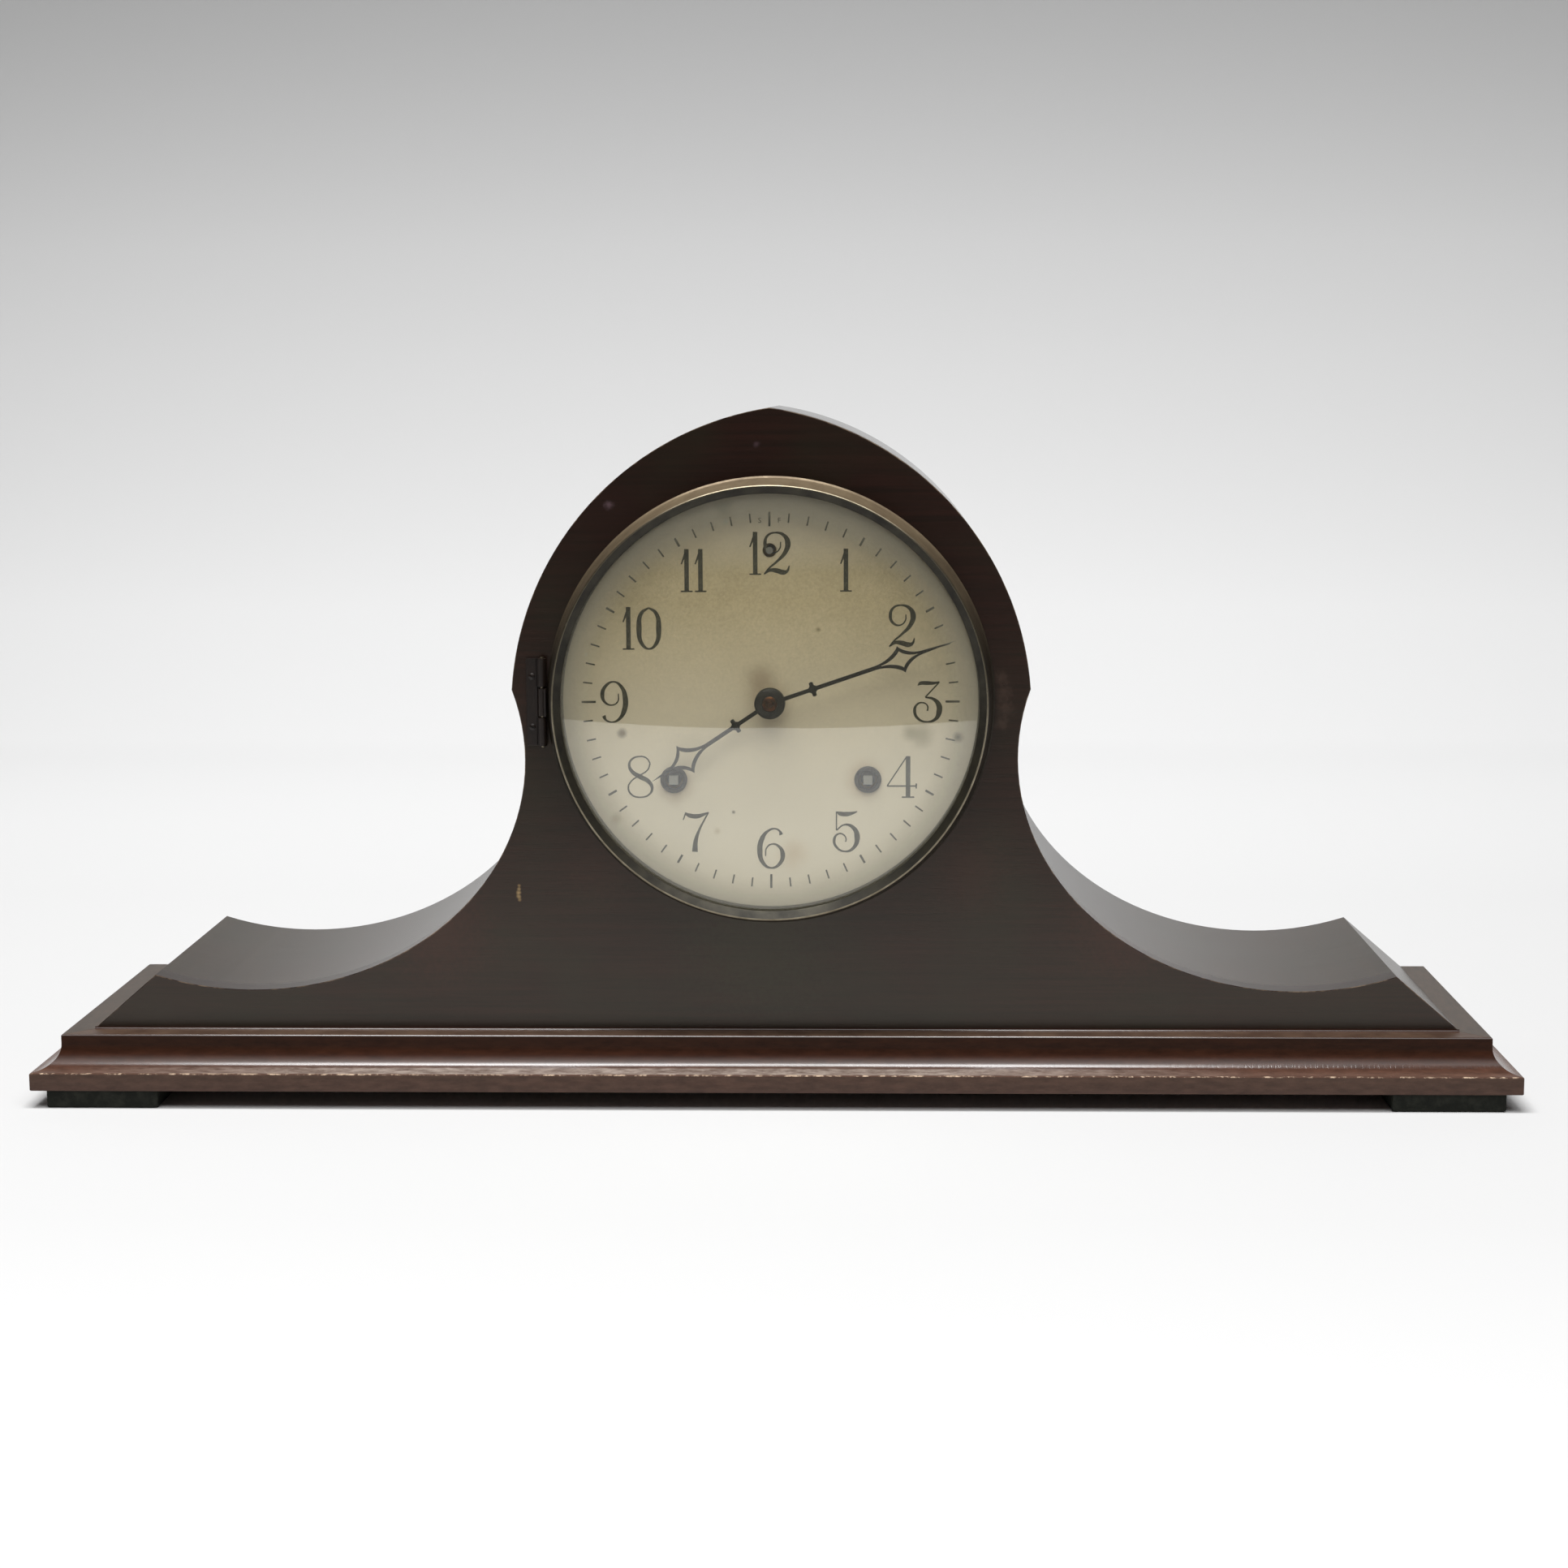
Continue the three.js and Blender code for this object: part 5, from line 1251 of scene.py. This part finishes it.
def on_rim(face):
    return RIM_INSIDE < off_axis(face) < RIM + 0.2 and middle(face).y < BEZEL_FRONT + 0.3


paint(dark_brass, lambda face: off_axis(face) < RIM_INSIDE)
paint(rubbed_brass, on_rim)
settle("bezel_spun_ring", bezel_brass, "bezel", "bezel_brass", "bezel_ring", angle=25)

# %% [markdown]
# The glass is old and a little dirty, so it mirrors the table in front of the clock as a pale veil over
# the lower half of the dial. A shader of clear glass would shut out the lamps, so rays on their way to a
# lamp pass it as if it weren't there.

# %% Old glass
glass = start_finish(
    "old_domed_glass", Base_Color=colour("#f5f5ef"), Roughness=0.02, IOR=1.8, Transmission_Weight=1.0
)
place = wire(glass, "TexCoord", {}).outputs["Object"]
level = wire(glass, "Mapping", {"Vector": place, "Location": (0, 0, -DIAL_Z * MM), "Scale": (1, 0, 1)})
away = wire(glass, "VectorMath", {0: level.outputs[0]}, operation="LENGTH")
FILM_FROM, FILM_TO = 60 * MM, 73 * MM
film = wire(
    glass,
    "MapRange",
    {0: away.outputs["Value"], 1: FILM_FROM, 2: FILM_TO, 3: 0.035, 4: 0.3},
    interpolation_type="SMOOTHSTEP",
)
dust = wire(glass, "BsdfDiffuse", {"Color": colour("#b0ab99")})
to_lamp = wire(glass, "LightPath", {})
clear = wire(glass, "BsdfTransparent", {"Color": colour("#efefe8")})
shader = glass.node_tree.nodes["Principled BSDF"]
filmed = wire(glass, "MixShader", {0: film.outputs[0], 1: shader.outputs[0], 2: dust.outputs[0]})
pane = wire(
    glass,
    "MixShader",
    {0: to_lamp.outputs["Is Shadow Ray"], 1: filmed.outputs[0], 2: clear.outputs[0]},
)
glass.node_tree.links.new(pane.outputs[0], glass.node_tree.nodes["Material Output"].inputs["Surface"])
print("glass:", glass.name)

# %% Domed glass
GLASS_RADIUS, GLASS_THICK, GLASS_CROWN = 74.7, 1.6, 8.4
glass_edge = size_of("bezel_glass")[0].y + GLASS_CROWN
shares = [i / 20 for i in range(21)]
outside = [(GLASS_RADIUS * s, glass_edge - GLASS_CROWN * (1 - s * s)) for s in shares]
inside = [(GLASS_RADIUS * s, glass_edge + GLASS_THICK - GLASS_CROWN * (1 - s * s)) for s in reversed(shares)]
spin(outside + inside, steps=128, loop=False)
settle("domed_glass", glass, "bezel", "clear_glass", "bezel_glass", angle=40)

# %% [markdown]
# ## Hinges
# The bezel swings on a small butt hinge at the left of the dial, and the back door on another. A hinge is
# two plates whose knuckles share one pin. Each is built from a plate and barrels that are joined, with
# screw heads where the plate is fixed to wood.


# %% Hinge parts
def block(low, high, easing):
    begin()
    low, high = Vector(low), Vector(high)
    bpy.ops.mesh.primitive_cube_add(size=1, location=(low + high) / 2 * MM, scale=(high - low) * MM)
    apply_place()
    bpy.ops.object.mode_set(mode="EDIT")
    bpy.ops.mesh.select_all(action="SELECT")
    ease(easing)
    return bpy.context.object


def barrel(x, y, low, high, radius, easing):
    begin()
    place = Vector((x, y, (low + high) / 2)) * MM
    bpy.ops.mesh.primitive_cylinder_add(
        vertices=28, radius=radius * MM, depth=(high - low) * MM, location=place
    )
    apply_place()
    bpy.ops.object.mode_set(mode="EDIT")
    choose("EDGE", is_sharp)
    ease(easing)
    return bpy.context.object


def screw(x, z, seat, out, radius):
    rise = radius * 0.45
    spin(
        [
            (0, seat + out * rise), (radius * 0.6, seat + out * rise * 0.8), (radius, seat + out * 0.1),
            (radius, seat), (0, seat),
        ],
        x, z, steps=24, loop=False,
    )
    head = only(bpy.context.object)
    begin()
    bpy.ops.mesh.primitive_cube_add(
        size=1,
        location=Vector((x, seat + out * rise, z)) * MM,
        scale=Vector((radius * 3, radius * 0.6, radius * 0.3)) * MM,
        rotation=(0, math.radians(35), 0),
    )
    cut_with(bpy.context.object, head)
    return head


# %% Where the knuckles of a hinge lie
HINGE_HALF, KNUCKLE, PIN, PIN_HALF, GAP, LEAF = 15.5, 1.5, 0.7, 16, 0.3, 0.8
THIRD = 2 * HINGE_HALF / 3
SCREW_Z, BEZEL_SCREW, DOOR_SCREW, BACK_SCREW = 9, 1.2, 1.5, 2.4


def knuckle_spans(centre):
    low = centre - HINGE_HALF
    first, second = low + THIRD, low + 2 * THIRD
    return (low, first - GAP), (first + GAP, second - GAP), (second + GAP, low + 3 * THIRD)


print(f"hinge {2 * HINGE_HALF:.0f} mm long, knuckle {2 * KNUCKLE:.0f} mm thick")


# %% Bezel hinge
leaf_low, leaf_high = size_of("bezel_fixed_leaf")
fin_low, fin_high = size_of("bezel_moving_leaf")
hinge_x, hinge_y = fin_low.x + KNUCKLE, fin_high.y - KNUCKLE
lower, centre, upper = knuckle_spans(DIAL_Z)
plate_right = hinge_x - KNUCKLE - GAP
seat, back = leaf_high.y - LEAF, leaf_high.y
pieces = [
    block((leaf_low.x, seat, DIAL_Z - HINGE_HALF), (plate_right, back, DIAL_Z + HINGE_HALF), easing=0.2)
]
for low, high in (lower, upper):
    pieces.append(barrel(hinge_x, hinge_y, low, high, KNUCKLE, easing=0.2))
    pieces.append(block((plate_right - 0.5, seat, low), (hinge_x, back, high), easing=0.1))
for z in (-SCREW_Z, SCREW_Z):
    pieces.append(screw(leaf_low.x + 2, DIAL_Z + z, seat, -1, BEZEL_SCREW))
join(*pieces)
settle("bezel_hinge_plate", dark_bronze, "case", "bezel_brass", "bezel_fixed_leaf")
barrel(hinge_x, hinge_y, DIAL_Z - PIN_HALF, DIAL_Z + PIN_HALF, PIN, easing=0.2)
settle("bezel_hinge_pin", rubbed_brass, "case", "bezel_brass")

low, high = centre
knuckle = barrel(hinge_x, hinge_y, low, high, KNUCKLE, easing=0.2)
fin = block((fin_high.x - LEAF, fin_low.y, low), (fin_high.x, hinge_y, high), easing=0.1)
join(knuckle, fin)
settle("bezel_hinge_knuckle", dark_bronze, "bezel", "bezel_brass", "bezel_moving_leaf")

# %% [markdown]
# ## Hands and winding holes
# The hands are stamped from steel and blackened: a round hub, a slim shaft with a little cross bar, an
# open diamond with hollow sides, and a point. One half of the outline is written as widths along the hand
# and mirrored. The outline and the window of the diamond are filled together and pulled to the hand's
# thickness.


# %% Hand outlines
def hollow(near, far, tip_width, wide_width, steps=10):
    points = []
    for i in range(steps + 1):
        share = i / steps
        along = near + (far - near) * (1 - (1 - share) ** 1.25)
        points.append((tip_width + (wide_width - tip_width) * share**1.7, along))
    return points


HUB, SHAFT, BAR_HALF, LINE = 5.4, 0.7, 2.4, 1.15
MINUTE = {"bar": 15.9, "start": 39.1, "wide": 48.4, "half": 4.85, "end": 55.9, "tip": 68, "angle": 71.3}
HOUR = {"bar": 14.5, "start": 26.9, "wide": 35.8, "half": 5.7, "end": 42.6, "tip": 50, "angle": 236.3}


def hand_outline(size):
    root = math.asin(SHAFT / HUB)
    turns = [math.pi - (math.pi - root) * i / 24 for i in range(25)]
    hub = [(HUB * math.sin(a), HUB * math.cos(a)) for a in turns]
    bar = size["bar"]
    bar_edge = [
        (SHAFT, bar - 1.5), (1.3, bar - 0.75), (BAR_HALF, bar - 0.7), (BAR_HALF + 0.2, bar),
        (BAR_HALF, bar + 0.7), (1.3, bar + 0.75), (SHAFT, bar + 1.5),
    ]
    lower = hollow(size["start"], size["wide"], SHAFT, size["half"])
    upper = hollow(size["end"], size["wide"], SHAFT * 0.9, size["half"])[::-1][1:]
    half = hub + bar_edge + lower + upper + [(0, size["tip"])]
    return half + [(-x, z) for x, z in reversed(half[1:-1])]


def hand_window(size):
    lower = hollow(size["start"] + 2.0, size["wide"], 0.1, size["half"] - 1.6 * LINE)
    upper = hollow(size["end"] - 1.6, size["wide"], 0.1, size["half"] - 1.6 * LINE)[::-1][1:]
    half = lower + upper
    return half + [(-x, z) for x, z in reversed(half)]


def hand(node, size, name, body):
    low, high = size_of(node)
    cos, sin = math.cos(math.radians(size["angle"])), math.sin(math.radians(size["angle"]))
    loops = []
    for outline in (hand_outline(size), hand_window(size)):
        draw([(x * cos + z * sin, low.y, DIAL_Z + z * cos - x * sin) for x, z in outline])
        loops.append(bpy.context.object)
    join(*loops)
    bpy.ops.object.mode_set(mode="EDIT")
    bpy.ops.mesh.select_mode(type="EDGE")
    bpy.ops.mesh.select_all(action="SELECT")
    bpy.ops.mesh.fill()
    bpy.ops.mesh.dissolve_limited(angle_limit=math.radians(1))
    bpy.ops.mesh.select_all(action="SELECT")
    thicken(y=high.y - low.y)
    settle(name, black_steel, body, "blackened_steel", node)


hand("minute_hand", MINUTE, "minute_hand_blade", "minute_hand")
hand("hour_hand", HOUR, "hour_hand_blade", "hour_hand")

# %% Hub boss, hand nut and winding grommets
# Each profile is written as radius and depth from the piece's own front or seat.
BOSS = [(5.3, 0), (5.25, 0.35), (4.6, 0.8), (3.6, 1.1), (2.75, 1.2), (2.7, 0)]
minute_front = size_of("minute_hand")[0].y
spin([(radius, minute_front - rise) for radius, rise in BOSS], steps=64)
settle("minute_hand_boss", black_steel, "minute_hand", "blackened_steel")

NUT = [(0, 0), (1.1, 0.05), (1.3, 0.3), (1.35, 0.9), (2.3, 1.1), (2.6, 1.4)]
nut_low, nut_high = size_of("hand_nut")
front_of_nut = [(radius, nut_low.y + depth) for radius, depth in NUT]
spin(front_of_nut + [(2.6, nut_high.y), (0, nut_high.y)], steps=48, loop=False)
settle("hand_nut_turned", red_brass, "minute_hand", "movement_brass", "hand_nut")

GROMMET = [(3.3, 0.35), (3.5, 0.1), (3.9, 0), (4.4, 0.12), (4.75, 0.5), (4.75, 0.8), (3.9, 0.8)]
for side, x in [("strike", -WIND_X), ("time", WIND_X)]:
    low, high = size_of("grommet_" + side)
    ring = [(radius, low.y + depth) for radius, depth in GROMMET]
    spin([(3.3, high.y)] + ring + [(3.9, high.y)], x, DIAL_Z + WIND_Z, steps=64)
    settle("winding_grommet_" + side, black_steel, "case", "blackened_steel", "grommet_" + side)

# %% [markdown]
# ## Back of the case
# The back is plain unpolished wood: a board let in between the skins, with a round door on a hinge, so
# that the pendulum can be reached. A small brass knob opens it, and screws hold the board.

# %% Back board and door
back_low, back_high = size_of("back_panel")
door_low, door_high = size_of("back_door")
INSIDE, DOOR_OPENING = SKIN + GAP, 60
DOOR_Z = (door_low.z + door_high.z) / 2
board(case_outline(INSIDE, back_high.x, back_high.x), back_low.y, back_high.y)
choose("EDGE", lambda edge: lies_at(edge, "y", back_high.y) and is_sharp(edge))
ease(0.4)
bore(bpy.context.object, 0, DOOR_Z, DOOR_OPENING, back_low.y - 2, back_high.y + 2, sides=128)
settle("back_board", bare_wood, "case", "bare_wood", "back_panel")

rim, inner, outer = door_high.x, door_low.y, door_high.y
spin(
    [(0, inner), (rim - 0.4, inner), (rim, inner + 0.4), (rim, outer - 0.6), (rim - 0.6, outer), (0, outer)],
    z=DOOR_Z, steps=128, loop=False,
)
settle("back_door_disc", bare_wood, "back_door", "bare_wood", "back_door")

KNOB = [(0, 0), (3.4, 0), (3.4, 0.5), (2.2, 1.2), (1.9, 2.1), (2.6, 2.8), (4.4, 3.4), (5.0, 4.2)]
knob_low, knob_high = size_of("back_door_knob")
knob_x, knob_top = (knob_low.x + knob_high.x) / 2, knob_high.y
stem = [(radius, knob_low.y + depth) for radius, depth in KNOB]
crown = [(4.7, knob_top - 0.5), (3.2, knob_top - 0.1), (0, knob_top)]
spin(stem + crown, knob_x, DOOR_Z, steps=48, loop=False)
settle("back_door_turned_knob", movement_brass, "back_door", "movement_brass", "back_door_knob", angle=50)

# %% Back door hinge and the screws of the back
fixed_low, fixed_high = size_of("back_door_fixed_leaf")
moving_edge = size_of("back_door_moving_leaf")[0].x
axis_x, axis_y = fixed_low.x + KNUCKLE, fixed_high.y - KNUCKLE
seat, leaf_top = fixed_low.y, fixed_low.y + LEAF
lower, centre, upper = knuckle_spans(DOOR_Z)


def door_plate(side, spans, outer, pin):
    inner = axis_x + side * (KNUCKLE + 0.6)
    near, far = sorted((inner, outer))
    made = [block((near, seat, DOOR_Z - HINGE_HALF), (far, leaf_top, DOOR_Z + HINGE_HALF), easing=0.2)]
    for low, high in spans:
        made.append(barrel(axis_x, axis_y, low, high, KNUCKLE, easing=0.2))
        near, far = sorted((axis_x, inner + side * 0.5))
        made.append(block((near, seat, low), (far, leaf_top, high), easing=0.1))
    if pin:
        made.append(barrel(axis_x, axis_y, DOOR_Z - PIN_HALF, DOOR_Z + PIN_HALF, PIN, easing=0.2))
    for z in (-SCREW_Z, 0, SCREW_Z):
        made.append(screw((inner + outer) / 2, DOOR_Z + z, leaf_top, 1, DOOR_SCREW))
    join(*made)


door_plate(1, (lower, upper), fixed_high.x, pin=True)
settle("back_hinge_fixed_plate", movement_brass, "case", "movement_brass", "back_door_fixed_leaf")
door_plate(-1, (centre,), moving_edge, pin=False)
settle("back_hinge_moving_plate", movement_brass, "back_door", "movement_brass", "back_door_moving_leaf")

screw_places = [(-150, 34), (150, 34), (-70, 171), (70, 171), (-95, 61), (95, 61)]
join(*[screw(x, z, back_high.y, 1, BACK_SCREW) for x, z in screw_places])
settle("back_board_screws", steel, "case", "steel")

# %% [markdown]
# ## Movement
# Inside is a brass movement with two springs, one to go and one to strike. It is seen through the back
# door. The measured wheels, plates, arbors and springs are right as they are and only take a finish. The
# bob, the pillars and the coiled gong are round or wound, so they are made again, smooth.

# %% Bob and pillars
bob_low, bob_high = size_of("pendulum_bob")
bob_y, bob_z, bob_radius = (bob_low.y + bob_high.y) / 2, (bob_low.z + bob_high.z) / 2, bob_high.x
bob_half, BOB_EDGE = (bob_high.y - bob_low.y) / 2, 0.4
turns = [math.radians(v) for v in range(0, 86, 5)]
arc = [(bob_radius * math.sin(a) * 0.995, bob_half * math.cos(a)) for a in turns]
edge = [(bob_radius, bob_y - BOB_EDGE), (bob_radius, bob_y + BOB_EDGE)]
lens = [(r, bob_y - d) for r, d in arc] + edge + [(r, bob_y + d) for r, d in reversed(arc)]
spin(lens, 0, bob_z, steps=72, loop=False)
settle("pendulum_brass_bob", movement_brass, "pendulum", "movement_brass", "pendulum_bob", angle=50)

for i in range(1, 5):
    low, high = size_of(f"plate_pillar_{i}")
    x, z = (low.x + high.x) / 2, (low.z + high.z) / 2
    span = high.y - low.y
    end = [(0, 0), (3, 0), (3, 2), (2.4, 2.6), (2.2, 4.5)]
    turned = end + [(radius, span - depth) for radius, depth in reversed(end)]
    spin([(radius, low.y + depth) for radius, depth in turned], x, z, steps=32, loop=False)
    settle(f"turned_pillar_{i}", steel, "case", "steel", f"plate_pillar_{i}")


# %% Coiled gong
def wire_along(points, radius):
    draw(points, loop=False)
    only(bpy.context.object)
    bpy.ops.object.convert(target="CURVE")
    line = bpy.context.object.data
    line.bevel_depth, line.bevel_resolution, line.use_fill_caps = radius * MM, 3, True
    bpy.ops.object.convert(target="MESH")


gong_low, gong_high = size_of("gong")
GONG_X, GONG_Z, GONG_Y = -42, DIAL_Z - 61.5, (gong_low.y + gong_high.y) / 2
GONG_TURNS, GONG_WIRE, GONG_INNER, GONG_OUTER, GONG_END = 4.25, 1.25, 6.55, 40, 120
GONG_STEPS = 204
gong_points = []
for i in range(GONG_STEPS + 1):
    share = i / GONG_STEPS
    radius = GONG_INNER + (GONG_OUTER - GONG_INNER) * share
    angle = math.radians(GONG_END) - 2 * math.pi * GONG_TURNS * (1 - share)
    gong_points.append((GONG_X + radius * math.cos(angle), GONG_Y, GONG_Z + radius * math.sin(angle)))
wire_along(gong_points, GONG_WIRE)
settle("coiled_gong", spring_steel, "case", "steel", "gong", angle=60)

# %% Finishes of the measured pieces
# Winding squares are bright at the end, where the key rubs them, and painted black behind the face of
# the dial: painted shade inside the holes.
steel_painted_shade = start_finish("oily_steel_bright_end", Metallic=1.0, Roughness=0.35)
place = wire(steel_painted_shade, "TexCoord", {}).outputs["Object"]
depth = wire(steel_painted_shade, "SeparateXYZ", {"Vector": place})
BRIGHT_TO, BLACK_FROM = (DIAL_FRONT - 0.3) * MM, (DIAL_FRONT + 0.3) * MM
painted_shade_depth = wire(steel_painted_shade, "MapRange", {0: depth.outputs["Y"], 1: BRIGHT_TO, 2: BLACK_FROM})
shade = wire(
    steel_painted_shade, "ValToRGB", {"Fac": painted_shade_depth.outputs[0]}, [(0.0, colour("#b9b9b4")), (1.0, colour("#1b1a17"))]
)
set_sockets(steel_painted_shade, {"Base_Color": shade.outputs["Color"]})

FINISH_OF_SLOT = {
    "moulding_wood": moulding_wood,
    "movement_brass": movement_brass,
    "steel": steel,
    "black_iron": black_iron,
}
replaced = {node for piece in bpy.data.objects for node in piece.get("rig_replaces", [])}
for part in frame["record"]["subparts"]:
    node = cad_nodes[part["node"]]
    if part["node"] in replaced:
        continue
    finish = FINISH_OF_SLOT[part["material_slot"]]
    if "mainspring" in part["node"] or part["node"] == "suspension_spring":
        finish = spring_steel
    if "winding_arbor" in part["node"] or part["node"] == "regulator_arbor":
        finish = steel_painted_shade
    node.data.materials.clear()
    node.data.materials.append(finish)
print("measured pieces left showing:", len(cad_nodes) - len(replaced))

# %% [markdown]
# ## Table, backdrop and light
# The clock stands on a plain white table that sweeps up behind it into a paper backdrop. The backdrop
# greys towards the top. A soft lamp hangs overhead, a large weak one fills the front, and a third lights
# the backdrop. The room is dim, so that the polish and the glass mirror the table below and the dark room
# above. The camera itself sees the room as white.

# %% Table and backdrop
# Matt paper, with its grey by distance along the sheet from the front of the table (0) to the top (1)
PAPER_TONES = [
    (0.021, "#ececec"), (1.0, "#9c9c9c"), (0.112, "#e3e3e3"), (0.19, "#e5e5e5"), (0.319, "#e7e7e7"),
    (0.544, "#f7f7f7"), (0.657, "#f1f1f1"), (0.736, "#e5e5e5"), (0.804, "#dadada"), (0.863, "#cecece"),
    (0.958, "#acacac"),
]
paper = start_finish("white_backdrop_paper", Roughness=0.9, Specular_IOR_Level=0.1)
place = wire(paper, "TexCoord", {}).outputs["Object"]
run = wire(paper, "SeparateXYZ", {"Vector": place})
along = wire(paper, "Math", {0: run.outputs["Y"], 1: run.outputs["Z"]}, operation="ADD")
share = wire(paper, "MapRange", {0: along.outputs[0], 1: -0.5, 2: 2.2})
tones = [(at, colour(code)) for at, code in PAPER_TONES]
fade = wire(paper, "ValToRGB", {"Fac": share.outputs[0]}, tones)
set_sockets(paper, {"Base_Color": fade.outputs["Color"]})

TABLE_FRONT, TABLE_BACK, TABLE_HALF, SWEEP, BACKDROP_TOP = -870, 900, 2200, 600, 1600
sweep = ellipse(TABLE_BACK, SWEEP, SWEEP, SWEEP, 1.5 * math.pi, 2 * math.pi, 24)
paper_line = [(TABLE_FRONT, 0)] + sweep + [(TABLE_BACK + SWEEP, BACKDROP_TOP)]
draw([(-TABLE_HALF, y, z) for y, z in paper_line], loop=False)
bpy.ops.mesh.extrude_edges_move(TRANSFORM_OT_translate={"value": (2 * TABLE_HALF * MM, 0, 0)})
fix_normals()
table = only(bpy.context.object)
bpy.ops.object.shade_smooth_by_angle(angle=math.radians(40))
table.name = "table_and_backdrop"
table.data.materials.append(paper)
print("table:", 2 * TABLE_HALF, "mm wide, backdrop", BACKDROP_TOP, "mm high")


# %% Lamps and room
def lamp(name, place, aim, width, depth, power):
    light = bpy.data.lights.new(name, "AREA")
    light.shape, light.size, light.size_y, light.energy = "RECTANGLE", width, depth, power
    stand = bpy.data.objects.new(name, light)
    bpy.context.scene.collection.objects.link(stand)
    stand.location = place
    stand.rotation_euler = (Vector(aim) - Vector(place)).to_track_quat("-Z", "Y").to_euler()
    print(f"{name}: {power} W, {width} by {depth} m")


lamp("overhead_softbox", (-0.14, -0.2, 1.7), aim=(-0.14, -0.12, 0), width=0.92, depth=0.36, power=23)
lamp("front_softbox", (0.15, -1.0, 1.9), aim=(0.15, 0, 0.1), width=2.4, depth=1.2, power=26)
lamp("backdrop_softbox", (0.12, 0.45, 0.9), aim=(0.12, 1.5, 0.4), width=2.8, depth=0.3, power=5.8)
room = bpy.data.worlds.new("dim_room")
bpy.context.scene.world = room
room.use_nodes = True
seen = wire(room, "LightPath", {})
level = wire(room, "MapRange", {0: seen.outputs["Is Camera Ray"], 3: 0.05, 4: 1.0})
walls = room.node_tree.nodes["Background"]
walls.inputs["Color"].default_value = colour("#ffffff")
room.node_tree.links.new(level.outputs[0], walls.inputs["Strength"])
bpy.context.scene.view_settings.view_transform = "Standard"
